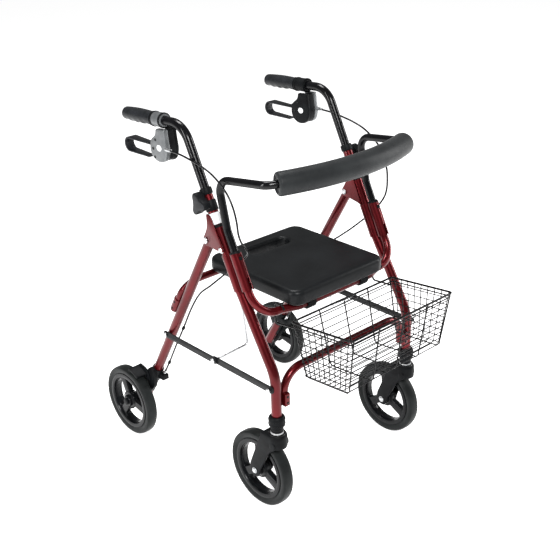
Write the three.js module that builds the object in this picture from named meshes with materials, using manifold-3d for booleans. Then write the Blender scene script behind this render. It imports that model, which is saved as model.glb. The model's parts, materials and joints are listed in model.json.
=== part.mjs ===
// A folding four-wheeled rollator walker: two side frames, a lift-up seat, a padded backrest bar,
// a wire basket, height-adjustable handles with loop brakes, swivelling front wheels and braked rear wheels.
// Millimetres, +Z up, the front faces -Y, the user's right side is -X. The origin is on the floor.

import * as THREE from 'three';
import { mergeVertices } from 'three/addons/utils/BufferGeometryUtils.js';
import Module from 'manifold-3d';

const wasm = await Module();
wasm.setup();

// ---------------------------------------------------------------- driving dimensions
const GAP = 0.3; // clearance between touching pieces
const SIDE_X = 233; // side frame plane, from the middle of the walker
const LEG_R = 12.7; // 25.4 mm frame tube
const HANDLE_R = 11.1; // 22.2 mm handle tube
const CARRIER_R = 10; // 20 mm seat carrier tube
const BACK_R = 9.5; // 19 mm backrest and rear arch tube
const ROD_R = 3; // folding link rod

const UPPER_LEAN = rad(26.1); // front leg and handle tube above the knee, from vertical
const LOWER_LEAN = rad(31.2); // front leg below the knee
const REAR_LEAN = rad(30.35); // rear leg
const LEG_TOP_Z = 772;
const KNEE_Z = 578;
const KNEE_Y = -159.9;
const STEM_Y = -281; // swivel axis of the front wheels
const STEM_Z = 232.3; // lower end of the front leg
const PIVOT_Y = -70; // fold pivot, at the top of the rear leg
const PIVOT_Z = 665;
const REAR_END_Z = 92;
const BRACKET_Z = 185; // wheel bracket's sleeve on the rear leg

const BRAKE_PIN = { y: 212, z: 184 };
const WHEEL_R = 100;
const TYRE_W = 32;
const HUB_HALF = 17;
const TRAIL = 60; // caster axle behind the swivel axis
const REAR_WHEEL_X = 279;
const REAR_AXLE_Y = 270;

const BRACE_Z = 350;
const BRACE_FRONT_Y = -279;
const BRACE_MID_Y = -77;
const BRACE_REAR_Y = 118;

const SEAT = { halfWidth: 155, front: -272, rear: 54, bottom: 523.6, thick: 38, corner: 32 };
const CARRIER_AHEAD = 32.85; // seat carrier arms, in front of the upper leg
const CARRIER_BEND = { y: -199, z: 565 };
const CARRIER_CORNER_Y = -231;
const CARRIER_Z = 512.5; // seat carrier crosspiece, the seat's hinge line
const CARRIER_BAR_Y = -247;
const CARRIER_JOGGLE = { outerX: 164, innerX: 122 }; // where the crosspiece steps forward to the hinge line
const LUG_X = 138; // seat lugs that take the lift rods
const LUG_Y = -60;
const LUG_Z = 514;
const LUG_HOLE_R = 5; // wide enough for the rod's swing

const KNOB = { valleyR: 17, lobeR: 29, inner: 17.3, outer: 37 };
const KNOB_DROP = 16; // knob axis below the leg's top

const HANDLE_CORNER_Z = 923;
const GRIP_DROP = rad(3);
const GRIP_END = 223; // from the handle's corner to the tube end
const LEVER_PIN = { y: 103, z: 872 };
const LOOP = { front: 132, rear: 238, top: 856, bottom: 818, thick: 6, halfWidth: 13 };
const BACK_KNEE_Z = 703;
const BACK_TOP = { y: -106, z: 818 };
const PAD = { halfWidth: 212, end: 207, endY: -271, sag: 47, z: 839, rise: 4, r: 27.5 };
const HOOK_X = 169;
const RIM = { front: -467, rear: -274, frontZ: 520, rearZ: 500, halfWidth: 176 };
const FLOOR = { front: -446, rear: -307, frontZ: 372, rearZ: 360, halfWidth: 167 };

const MIDDLE_Y = 48.5; // brings the middle of the whole walker over the origin

const COLOURS = {
  red: ['#8f1420', 0.28, 0.7],
  black: ['#0c0d0f', 0.25, 0.3],
  brace: ['#1b1d1f', 0.45, 0.4],
  plastic: ['#15171a', 0.5, 0],
  seat: ['#26292b', 0.55, 0],
  foam: ['#3a3d40', 0.6, 0],
  tyre: ['#2a2d2e', 0.8, 0],
  grip: ['#2c2e33', 0.45, 0],
  silver: ['#b4b9bc', 0.35, 0.6],
  wire: ['#17181a', 0.4, 0.5],
};

// ---------------------------------------------------------------- small maths
function rad(degrees) {
  return (degrees * Math.PI) / 180;
}

function v(x, y, z) {
  return new THREE.Vector3(x, y, z);
}

// Points on the tubes' centrelines, at a given height.
function upperLegY(z) {
  return KNEE_Y + (z - KNEE_Z) * Math.tan(UPPER_LEAN);
}

function rearLegY(z) {
  return PIVOT_Y + (PIVOT_Z - z) * Math.tan(REAR_LEAN);
}

function carrierY(z) {
  return upperLegY(z) - CARRIER_AHEAD;
}

function archY(z) {
  const offset = (LEG_R + BACK_R + GAP + 0.2) / Math.cos(REAR_LEAN);
  return rearLegY(z) + offset;
}

// ---------------------------------------------------------------- solids
function toSolid(geometry) {
  const bare = geometry.clone();
  bare.deleteAttribute('normal');
  bare.deleteAttribute('uv');
  const merged = mergeVertices(bare, 1e-4);
  const vertProperties = new Float32Array(merged.attributes.position.array);
  const triVerts = new Uint32Array(merged.index.array);
  const solid = new wasm.Manifold(new wasm.Mesh({ numProp: 3, vertProperties, triVerts }));
  if (solid.volume() > 0) {
    return solid;
  }
  return new wasm.Manifold(new wasm.Mesh({ numProp: 3, vertProperties, triVerts: triVerts.reverse() }));
}

function toGeometry(solid) {
  const mesh = solid.getMesh();
  const geometry = new THREE.BufferGeometry();
  geometry.setAttribute('position', new THREE.BufferAttribute(mesh.vertProperties, 3));
  geometry.setIndex(new THREE.BufferAttribute(mesh.triVerts, 1));
  return geometry;
}

function join(...solids) {
  return solids.reduce((whole, piece) => whole.add(piece));
}

function cut(whole, ...tools) {
  return tools.reduce((rest, tool) => rest.subtract(tool), whole);
}

// A path whose corners are rounded: each corner is { p, r }, and r of 0 leaves a plain point.
class BentPath extends THREE.Curve {
  constructor(corners, arcSteps = 4) {
    super();
    this.nodes = [];
    corners.forEach(({ p, r = 0 }, i) => {
      if (!r || i === 0 || i === corners.length - 1) {
        this.nodes.push(p.clone());
        return;
      }
      const back = corners[i - 1].p.clone().sub(p).normalize();
      const on = corners[i + 1].p.clone().sub(p).normalize();
      const half = back.angleTo(on) / 2;
      const reach = r / Math.tan(half);
      const start = p.clone().addScaledVector(back, reach);
      const end = p.clone().addScaledVector(on, reach);
      const centre = p.clone().addScaledVector(back.clone().add(on).normalize(), r / Math.sin(half));
      const from = start.clone().sub(centre);
      const to = end.clone().sub(centre);
      const sweep = from.angleTo(to);
      for (let k = 0; k <= arcSteps; k += 1) {
        const t = k / arcSteps;
        const a = Math.sin((1 - t) * sweep) / Math.sin(sweep);
        const b = Math.sin(t * sweep) / Math.sin(sweep);
        this.nodes.push(centre.clone().addScaledVector(from, a).addScaledVector(to, b));
      }
    });
    this.steps = this.nodes.length - 1;
  }

  getPoint(t, target = new THREE.Vector3()) {
    const at = Math.min(t * this.steps, this.steps - 1e-9);
    const i = Math.floor(at);
    return target.lerpVectors(this.nodes[i], this.nodes[i + 1], at - i);
  }

  getPointAt(t, target) {
    return this.getPoint(t, target);
  }

  getTangentAt(t, target = new THREE.Vector3()) {
    const i = Math.round(t * this.steps);
    const before = this.nodes[Math.max(i - 1, 0)];
    const here = this.nodes[i];
    const after = this.nodes[Math.min(i + 1, this.steps)];
    const into = here.clone().sub(before).normalize();
    const out = after.clone().sub(here).normalize();
    return target.copy(into).add(out).normalize();
  }
}

function circle(radius, reversed = false) {
  const path = new THREE.Path();
  path.absarc(0, 0, radius, 0, 2 * Math.PI, reversed);
  return path;
}

// A round tube along a rounded path. An inner radius leaves it open right through.
function tube(corners, radius, { inner = 0, sides = 12, arcSteps = 4 } = {}) {
  const path = new BentPath(corners, arcSteps);
  const shape = new THREE.Shape();
  shape.absarc(0, 0, radius, 0, 2 * Math.PI, false);
  if (inner) {
    shape.holes.push(circle(inner, true));
  }
  return toSolid(new THREE.ExtrudeGeometry(shape, {
    steps: path.steps,
    extrudePath: path,
    curveSegments: sides / 2,
  }));
}

function rod(from, to, radius, sides = 12) {
  return tube([{ p: from }, { p: to }], radius, { sides });
}

// An outline in the (y, z) plane, given thickness along X from x0 to x1.
function plateX(shape, x0, x1, curveSegments = 3) {
  const low = Math.min(x0, x1);
  const geometry = new THREE.ExtrudeGeometry(shape, {
    depth: Math.abs(x1 - x0),
    bevelEnabled: false,
    curveSegments,
  });
  const axes = new THREE.Matrix4().makeBasis(v(0, 1, 0), v(0, 0, 1), v(1, 0, 0));
  geometry.applyMatrix4(axes.setPosition(low, 0, 0));
  return toSolid(geometry);
}

function box(x0, x1, y0, y1, z0, z1) {
  const geometry = new THREE.BoxGeometry(Math.abs(x1 - x0), Math.abs(y1 - y0), Math.abs(z1 - z0));
  geometry.translate((x0 + x1) / 2, (y0 + y1) / 2, (z0 + z1) / 2);
  return toSolid(geometry);
}

// A turned solid: profile points are [radius, along], closed on the axis or on themselves.
function turned(profile, origin, direction, segments = 16) {
  const points = profile.map(([r, along]) => new THREE.Vector2(r, along));
  const geometry = new THREE.LatheGeometry(points, segments);
  const turn = new THREE.Quaternion().setFromUnitVectors(v(0, 1, 0), direction.clone().normalize());
  geometry.applyQuaternion(turn);
  geometry.translate(origin.x, origin.y, origin.z);
  return toSolid(geometry);
}

// A polygon with rounded corners, as a shape; each corner is [u, w, r].
function roundedOutline(corners) {
  const shape = new THREE.Shape();
  const at = (i) => new THREE.Vector2(...corners[(i + corners.length) % corners.length].slice(0, 2));
  corners.forEach(([, , r = 0], i) => {
    const here = at(i);
    const back = at(i - 1).sub(here);
    const on = at(i + 1).sub(here);
    const reach = Math.min(r, 0.48 * back.length(), 0.48 * on.length());
    const start = here.clone().addScaledVector(back.normalize(), reach);
    const end = here.clone().addScaledVector(on.normalize(), reach);
    if (i === 0) {
      shape.moveTo(start.x, start.y);
    } else {
      shape.lineTo(start.x, start.y);
    }
    if (reach > 0) {
      shape.quadraticCurveTo(here.x, here.y, end.x, end.y);
    }
  });
  shape.closePath();
  return shape;
}

// ---------------------------------------------------------------- the assembly
const rollator = new THREE.Group();

function add(name, solid, colour) {
  const [tint, roughness, metalness] = COLOURS[colour];
  const material = new THREE.MeshStandardMaterial({ color: tint, roughness, metalness });
  const mesh = new THREE.Mesh(toGeometry(solid.translate([0, MIDDLE_Y, 0])), material);
  mesh.name = name;
  rollator.add(mesh);
}

const UP = v(0, Math.sin(UPPER_LEAN), Math.cos(UPPER_LEAN)); // along the handle tube
const ACROSS = v(1, 0, 0);

function frontLeg(x, s) {
  const top = v(x, upperLegY(LEG_TOP_Z), LEG_TOP_Z);
  const bendZ = KNEE_Z - (KNEE_Y - STEM_Y) / Math.tan(LOWER_LEAN);
  const leg = tube([
    { p: top },
    { p: v(x, KNEE_Y, KNEE_Z), r: 300 },
    { p: v(x, STEM_Y, bendZ), r: 110 },
    { p: v(x, STEM_Y, STEM_Z) },
  ], LEG_R, { arcSteps: 3 });
  const bore = rod(top.clone().addScaledVector(UP, 5), top.clone().addScaledVector(UP, -196), 11.6);
  const stemBore = rod(v(x, STEM_Y, STEM_Z - 5), v(x, STEM_Y, STEM_Z + 40), 8.4);
  const boltHole = rod(v(x + s * 2, BRACE_FRONT_Y, BRACE_Z), v(x + s * 20, BRACE_FRONT_Y, BRACE_Z), 3.8);
  return cut(leg, bore, stemBore, boltHole);
}

// A plate corner at a height on the upper leg's axis, moved to the rear at right angles to the leg.
function besideLeg(z, rearward, radius) {
  return [
    upperLegY(z) + rearward * Math.cos(UPPER_LEAN),
    z - rearward * Math.sin(UPPER_LEAN),
    radius,
  ];
}

// Stamped leaf-shaped plate from the front leg to the fold pivot, with any corners below the leaf.
function gusset(x0, x1, lowerCorners) {
  const outline = roundedOutline([
    besideLeg(729, -4, 6),
    besideLeg(737, 8, 6),
    [PIVOT_Y - 8, PIVOT_Z + 34, 20],
    [PIVOT_Y + 11, PIVOT_Z + 2, 10],
    [PIVOT_Y + 6, PIVOT_Z - 13, 8],
    [PIVOT_Y - 10, PIVOT_Z - 12, 8],
    ...lowerCorners,
  ]);
  const middle = (x0 + x1) / 2;
  const hole = rod(v(middle - 8, PIVOT_Y, PIVOT_Z), v(middle + 8, PIVOT_Y, PIVOT_Z), 4.4);
  return cut(plateX(outline, x0, x1), hole);
}

// Corners of the plate that ties the front leg to the carrier arm, from the leg's rear edge round.
function saddleOutline() {
  return [
    besideLeg(640, 11, 8),
    besideLeg(573, 11, 6),
    besideLeg(560, -8, 10),
    [CARRIER_BEND.y + 4, CARRIER_BEND.z - 17, 6],
    [CARRIER_BEND.y - 10, CARRIER_BEND.z - 3, 6],
    besideLeg(634, -41, 10),
    besideLeg(640, -16, 8),
  ];
}

function seatCarrier() {
  const half = (s) => [
    { p: v(s * SIDE_X, carrierY(612), 612) },
    { p: v(s * SIDE_X, CARRIER_BEND.y, CARRIER_BEND.z), r: 60 },
    { p: v(s * SIDE_X, CARRIER_CORNER_Y, CARRIER_Z), r: 58 },
    { p: v(s * CARRIER_JOGGLE.outerX, CARRIER_CORNER_Y, CARRIER_Z), r: 30 },
    { p: v(s * CARRIER_JOGGLE.innerX, CARRIER_BAR_Y, CARRIER_Z), r: 30 },
  ];
  return tube([...half(-1), ...half(1).reverse()], CARRIER_R, { arcSteps: 4 });
}

// Sleeve on the carrier arm that takes the backrest tube, with its spring button.
function backrestSocket(x) {
  const low = v(x, carrierY(597), 597);
  const high = v(x, carrierY(653), 653);
  const sleeve = tube([{ p: low }, { p: high }], 12.6, { inner: 10.3 });
  const buttonAt = v(x, carrierY(640), 640);
  const outward = v(0, -Math.cos(UPPER_LEAN), Math.sin(UPPER_LEAN));
  const button = rod(
    buttonAt.clone().addScaledVector(outward, 11.4),
    buttonAt.clone().addScaledVector(outward, 17),
    4.5,
    8,
  );
  return join(sleeve, button);
}

function crossBar() {
  const foot = (s) => v(s * 208.6, STEM_Y, 302);
  const corner = (s) => v(s * 208.6, STEM_Y, 381);
  const bar = tube([
    { p: foot(-1) },
    { p: corner(-1), r: 55 },
    { p: corner(1), r: 55 },
    { p: foot(1) },
  ], CARRIER_R, { arcSteps: 4 });
  const brackets = [-1, 1].map((s) => cut(
    box(s * 204, s * 226, STEM_Y - 17, STEM_Y + 12, 298, 332),
    rod(v(s * SIDE_X, STEM_Y, 290), v(s * SIDE_X, STEM_Y, 340), LEG_R + GAP),
  ));
  return join(bar, ...brackets);
}

// Plastic ring on top of the leg, joined by a tongue to the clamp band and the height knob's boss.
function legCollar(x, s) {
  const top = v(x, upperLegY(LEG_TOP_Z), LEG_TOP_Z);
  const ring = turned([
    [11.6, 0.4],
    [13.8, 0.4],
    [14.8, 3],
    [14.8, 14],
    [13.5, 16.4],
    [11.6, 16.4],
    [11.6, 0.4],
  ], top, UP, 16);
  const band = turned([
    [LEG_R + GAP, -13.5],
    [14.6, -13.5],
    [14.6, -39],
    [LEG_R + GAP, -39],
    [LEG_R + GAP, -13.5],
  ], top, UP, 16);
  const tongueShape = roundedOutline([
    besideLeg(LEG_TOP_Z - 28, -7, 0),
    besideLeg(LEG_TOP_Z + 8, -7, 3),
    besideLeg(LEG_TOP_Z + 8, 7, 3),
    besideLeg(LEG_TOP_Z - 28, 7, 0),
  ]);
  const tongue = plateX(tongueShape, x + s * 11.7, x + s * 16);
  const boss = rod(knobHub(x, s, 12), knobHub(x, s, 17), 12);
  const leg = rod(top.clone().addScaledVector(UP, 0.4), top.clone().addScaledVector(UP, -60), LEG_R + GAP);
  const handle = rod(top.clone().addScaledVector(UP, -60), top.clone().addScaledVector(UP, 40), 11.6);
  return join(ring, band, cut(join(tongue, boss), leg, handle));
}

// A point on the height knob's axis, at a distance outboard of the leg's axis.
function knobHub(x, s, out) {
  const hub = v(x, upperLegY(LEG_TOP_Z), LEG_TOP_Z).addScaledVector(UP, -KNOB_DROP);
  return hub.add(v(s * out, 0, 0));
}

// Three-lobed knob with hollow sides between its lobes; one lobe points to the front.
function heightKnob(x, s) {
  const hub = knobHub(x, s, 0);
  const outline = new THREE.Shape();
  const steps = 36;
  for (let k = 0; k < steps; k += 1) {
    const a = (2 * Math.PI * k) / steps;
    const lobe = ((1 + Math.cos(3 * a)) / 2) ** 1.5;
    const r = KNOB.valleyR + (KNOB.lobeR - KNOB.valleyR) * lobe;
    const y = hub.y - r * Math.cos(a);
    const z = hub.z + r * Math.sin(a);
    if (k === 0) {
      outline.moveTo(y, z);
    } else {
      outline.lineTo(y, z);
    }
  }
  outline.closePath();
  return plateX(outline, x + s * KNOB.inner, x + s * KNOB.outer);
}

// Split plastic sleeve and bearing collar at the lower end of the front leg.
function stemSleeve(x) {
  return turned([
    [LEG_R + GAP, 1],
    [15.8, 1],
    [15.8, 16],
    [20, 18],
    [20, 40],
    [17, 43],
    [LEG_R + GAP, 43],
    [LEG_R + GAP, 1],
  ], v(x, STEM_Y, STEM_Z), v(0, 0, 1), 16);
}

function rearLeg(x, s) {
  const lean = v(0, Math.sin(REAR_LEAN), -Math.cos(REAR_LEAN));
  const pivot = v(x, PIVOT_Y, PIVOT_Z);
  const leg = rod(pivot.clone().addScaledVector(lean, -17), v(x, rearLegY(REAR_END_Z), REAR_END_Z), LEG_R);
  const pivotHole = rod(v(x - 20, PIVOT_Y, PIVOT_Z), v(x + 20, PIVOT_Y, PIVOT_Z), 4.4);
  const boltHole = rod(v(x + s * 2, BRACE_REAR_Y, BRACE_Z), v(x + s * 20, BRACE_REAR_Y, BRACE_Z), 3.8);
  return cut(leg, pivotHole, boltHole);
}

function foldBolt(x, s) {
  return turned([
    [0, -19.5],
    [7, -19.5],
    [7, -16.3],
    [4, -16.3],
    [4, 16.3],
    [8, 16.3],
    [7, 20],
    [0, 20],
  ], v(x, PIVOT_Y, PIVOT_Z), v(s, 0, 0), 12);
}

// Rear arch under the back edge of the seat, clamped behind the rear legs.
function rearArch() {
  const foot = (s) => v(s * SIDE_X, archY(430), 430);
  const corner = (s) => v(s * SIDE_X, archY(CARRIER_Z + 0.8), CARRIER_Z + 0.8);
  const bar = tube([
    { p: foot(-1) },
    { p: corner(-1), r: 46 },
    { p: corner(1), r: 46 },
    { p: foot(1) },
  ], BACK_R, { arcSteps: 5 });
  const clamps = [-1, 1].map((s) => {
    const x = s * SIDE_X;
    const sleeve = rod(v(x, archY(424), 424), v(x, archY(462), 462), 12.4);
    const leg = rod(v(x, rearLegY(520), 520), v(x, rearLegY(380), 380), LEG_R + GAP);
    return cut(sleeve, leg);
  });
  return join(bar, ...clamps);
}

// Casting that holds the rear axle and the brake arm's pin.
function wheelBracket(x, s) {
  const sleeveAt = v(x, rearLegY(BRACKET_Z), BRACKET_Z);
  const lean = v(0, Math.sin(REAR_LEAN), -Math.cos(REAR_LEAN));
  const along = (distance) => sleeveAt.clone().addScaledVector(lean, distance);
  const sleeve = rod(along(-34), along(14), 16);
  const socket = rod(along(-40), along(40), LEG_R + GAP);
  const outline = roundedOutline([
    [186, 214, 6],
    [206, 218, 6],
    [232, 186, 8],
    [286, 112, 10],
    [284, 88, 12],
    [250, 84, 10],
    [222, 128, 8],
    [188, 164, 8],
  ]);
  const web = plateX(outline, s * 246, s * 256);
  const spacer = rod(v(s * 255, REAR_AXLE_Y, WHEEL_R), v(s * 261.6, REAR_AXLE_Y, WHEEL_R), 11);
  const axle = rod(v(s * 250, REAR_AXLE_Y, WHEEL_R), v(s * 300, REAR_AXLE_Y, WHEEL_R), 6);
  const axleHead = rod(v(s * 296.5, REAR_AXLE_Y, WHEEL_R), v(s * 301, REAR_AXLE_Y, WHEEL_R), 9.5);
  const armPin = rod(v(s * 250, BRAKE_PIN.y, BRAKE_PIN.z), v(s * 261.4, BRAKE_PIN.y, BRAKE_PIN.z), 4);
  const shield = cut(
    rod(along(13), along(60), 16),
    rod(along(0), along(80), LEG_R + GAP),
    box(s * 200, s * 230, 150, 300, 90, 230),
  );
  const cableLug = box(s * 219, s * 238, 170, 196, 183, 197);
  return join(cut(join(sleeve, cableLug), socket), shield, web, spacer, axle, axleHead, armPin);
}

// Brake arm on the bracket's pin, with the shoe over the tyre.
function brakeArm(s) {
  const outline = roundedOutline([
    [BRAKE_PIN.y - 9, BRAKE_PIN.z - 7, 5],
    [BRAKE_PIN.y - 8, BRAKE_PIN.z + 8, 5],
    [BRAKE_PIN.y + 4, 212, 5],
    [244, 217, 4],
    [254, 206.5, 3],
    [236, 203, 2],
    [BRAKE_PIN.y + 10, BRAKE_PIN.z - 6, 5],
  ]);
  const hole = rod(v(s * 250, BRAKE_PIN.y, BRAKE_PIN.z), v(s * 270, BRAKE_PIN.y, BRAKE_PIN.z), 4.3);
  const arm = cut(plateX(outline, s * 256.6, s * 260.6), hole);
  const shoe = new THREE.Shape();
  shoe.absarc(REAR_AXLE_Y, WHEEL_R, WHEEL_R + 4.6, rad(99), rad(120), false);
  shoe.absarc(REAR_AXLE_Y, WHEEL_R, WHEEL_R + 11, rad(120), rad(99), true);
  shoe.closePath();
  return join(arm, plateX(shoe, s * 257, s * 292, 6));
}

// Three-spoke wheel centre with a plain axle bore.
function wheelRim(x, y, bore) {
  const disc = rod(v(x - 10, y, WHEEL_R), v(x + 10, y, WHEEL_R), 79.6, 28);
  const windows = [0, 120, 240].map((turn) => {
    const from = rad(turn + 14);
    const to = rad(turn + 106);
    const outline = new THREE.Shape();
    outline.absarc(y, WHEEL_R, 67, from, to, false);
    outline.absarc(y, WHEEL_R, 27, to - 0.25, from + 0.25, true);
    outline.closePath();
    return plateX(outline, x - 20, x + 20, 3);
  });
  const hub = rod(v(x - HUB_HALF, y, WHEEL_R), v(x + HUB_HALF, y, WHEEL_R), 19, 16);
  const hole = rod(v(x - 30, y, WHEEL_R), v(x + 30, y, WHEEL_R), bore, 12);
  return cut(join(cut(disc, ...windows), hub), hole);
}

function tyre(x, y) {
  const half = TYRE_W / 2;
  return turned([
    [80, 4 - half],
    [92, -half],
    [WHEEL_R, 9 - half],
    [WHEEL_R, half - 9],
    [92, half],
    [80, half - 4],
    [80, 4 - half],
  ], v(x, y, WHEEL_R), ACROSS, 32);
}

// Swivelling fork with its stem, crown, two arms and axle.
function casterFork(x) {
  const axleY = STEM_Y + TRAIL;
  const stem = turned([
    [0, 0],
    [16, 0],
    [18.5, 3],
    [18.5, 22],
    [13.5, 25.5],
    [13.5, 27.8],
    [8, 27.8],
    [8, 60],
    [0, 60],
  ], v(x, STEM_Y, 204), v(0, 0, 1), 16);
  const side = roundedOutline([
    [STEM_Y - 30, 206, 4],
    [STEM_Y - 20, 226, 8],
    [STEM_Y + 22, 226, 8],
    [STEM_Y + 42, 204, 10],
    [axleY + 15, WHEEL_R + 6, 8],
    [axleY + 9, WHEEL_R - 13, 8],
    [axleY - 9, WHEEL_R - 14, 8],
    [axleY - 15, WHEEL_R + 4, 8],
    [STEM_Y - 4, 196, 10],
  ]);
  const slab = plateX(side, x - 23.5, x + 23.5);
  const wheelRoom = turned([
    [0, -18.3],
    [105, -18.3],
    [105, 18.3],
    [0, 18.3],
  ], v(x, axleY, WHEEL_R), ACROSS, 24);
  const axle = rod(v(x - 27.5, axleY, WHEEL_R), v(x + 27.5, axleY, WHEEL_R), 5);
  const heads = [-1, 1].map((e) => rod(
    v(x + e * 23, axleY, WHEEL_R),
    v(x + e * 27.5, axleY, WHEEL_R),
    8,
    6,
  ));
  return join(cut(slab, wheelRoom), stem, axle, ...heads);
}

// Flat link of the side brace between two bolt centres, with a bolt into the leg at its root.
function braceLink(s, x0, rootY, tipY, tipHole) {
  const reach = Math.sign(tipY - rootY);
  const outline = roundedOutline([
    [rootY - reach * 9, BRACE_Z - 9, 7],
    [tipY + reach * 9, BRACE_Z - 9, 7],
    [tipY + reach * 9, BRACE_Z + 9, 7],
    [rootY - reach * 9, BRACE_Z + 9, 7],
  ]);
  const bar = plateX(outline, s * x0, s * (x0 + 3));
  const shaft = rod(v(s * 238, rootY, BRACE_Z), v(s * (x0 + 1), rootY, BRACE_Z), 3.4);
  const head = rod(v(s * (x0 + 2), rootY, BRACE_Z), v(s * 256, rootY, BRACE_Z), 6.5, 6);
  const link = join(bar, shaft, head);
  if (!tipHole) {
    const midHead = rod(v(s * (x0 + 2), tipY, BRACE_Z), v(s * 256, tipY, BRACE_Z), 6.5, 6);
    return join(link, midHead);
  }
  return cut(link, rod(v(s * (x0 - 2), tipY, BRACE_Z), v(s * (x0 + 5), tipY, BRACE_Z), ROD_R + 0.4));
}

// Bent rod from the brace's middle to the lug under the seat.
function liftRod(s) {
  return tube([
    { p: v(s * 249.2, BRACE_MID_Y, BRACE_Z) },
    { p: v(s * 236, BRACE_MID_Y, BRACE_Z), r: 8 },
    { p: v(s * 150, -88, 361), r: 12 },
    { p: v(s * 150, LUG_Y, LUG_Z), r: 6 },
    { p: v(s * 128, LUG_Y, LUG_Z) },
  ], ROD_R, { sides: 8, arcSteps: 3 });
}

function handleTube(x) {
  const low = v(x, upperLegY(LEG_TOP_Z), LEG_TOP_Z).addScaledVector(UP, -90);
  const corner = v(x, upperLegY(HANDLE_CORNER_Z), HANDLE_CORNER_Z);
  return tube([
    { p: low },
    { p: corner, r: 60 },
    { p: gripPoint(x, GRIP_END) },
  ], HANDLE_R, { arcSteps: 6 });
}

// A point on the grip axis, at a distance behind the handle's corner.
function gripPoint(x, along) {
  const corner = v(x, upperLegY(HANDLE_CORNER_Z), HANDLE_CORNER_Z);
  return corner.addScaledVector(v(0, Math.cos(GRIP_DROP), -Math.sin(GRIP_DROP)), along);
}

// Moulded hand grip with four finger swells.
function handGrip(x) {
  const outer = [[11.5, 0], [15.5, 0], [17.5, 6]];
  for (let k = 0; k < 4; k += 1) {
    outer.push([16, 14 + 22 * k], [18, 25 + 22 * k]);
  }
  outer.push([17, 110], [13, 116], [0, 116], [0, 110.6], [11.5, 110.6], [11.5, 0]);
  const direction = v(0, Math.cos(GRIP_DROP), -Math.sin(GRIP_DROP));
  return turned(outer, gripPoint(x, GRIP_END - 110), direction, 14);
}

// Brake housing: clamp ring round the handle tube and a flat body hanging below it.
function brakeHousing(x, s) {
  const direction = v(0, Math.cos(GRIP_DROP), -Math.sin(GRIP_DROP));
  const ring = turned([
    [HANDLE_R + GAP, 0],
    [15.5, 0],
    [17.5, 4],
    [17.5, 36],
    [16, 40],
    [HANDLE_R + GAP, 40],
    [HANDLE_R + GAP, 0],
  ], gripPoint(x, 70), direction, 16);
  const body = plateX(roundedOutline([
    [62, 916, 6],
    [99, 914, 6],
    [101, 884, 8],
    [122, 870, 8],
    [126, 846, 10],
    [118, 828, 10],
    [98, 817, 12],
    [66, 822, 16],
    [54, 850, 10],
    [60, 884, 8],
  ]), x - 18, x + 18);
  const tubeRoom = rod(gripPoint(x, 40), gripPoint(x, 130), HANDLE_R + GAP);
  const slot = box(x - 5.9, x + 5.9, 90, 140, 846, 900);
  const pin = rod(v(x - 8, LEVER_PIN.y, LEVER_PIN.z), v(x + 8, LEVER_PIN.y, LEVER_PIN.z), 3, 10);
  const cableBoss = rod(v(s * 250, 62, 857.5), v(s * 250, 43.5, 857.5), 4.4, 8);
  return join(ring, cut(body, tubeRoom, slot), pin, cableBoss);
}

// Loop brake lever: a wide strap loop behind the housing, with a tongue on the lever pin.
function brakeLever(x) {
  const { front, rear, top, bottom, thick } = LOOP;
  const round = (top - bottom) / 2;
  const middle = rear - round;
  const outline = new THREE.Shape();
  outline.moveTo(front, top);
  outline.lineTo(middle, top);
  outline.absarc(middle, bottom + round, round, Math.PI / 2, -Math.PI / 2, true);
  outline.lineTo(front + 12, bottom);
  outline.lineTo(front + 12, bottom + thick);
  outline.lineTo(middle, bottom + thick);
  outline.absarc(middle, bottom + round, round - thick, -Math.PI / 2, Math.PI / 2, false);
  outline.lineTo(front, top - thick);
  outline.closePath();
  const strap = plateX(outline, x - LOOP.halfWidth, x + LOOP.halfWidth, 6);
  const tongue = plateX(roundedOutline([
    [LEVER_PIN.y - 9, LEVER_PIN.z - 9, 7],
    [LEVER_PIN.y + 7, LEVER_PIN.z - 10, 4],
    [front + 8, top - thick, 2],
    [front + 12, top, 2],
    [LEVER_PIN.y + 12, LEVER_PIN.z + 7, 6],
    [LEVER_PIN.y - 9, LEVER_PIN.z + 9, 7],
  ]), x - 5, x + 5);
  const hole = rod(v(x - 8, LEVER_PIN.y, LEVER_PIN.z), v(x + 8, LEVER_PIN.y, LEVER_PIN.z), 3.4, 10);
  return cut(join(strap, tongue), hole);
}

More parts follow.
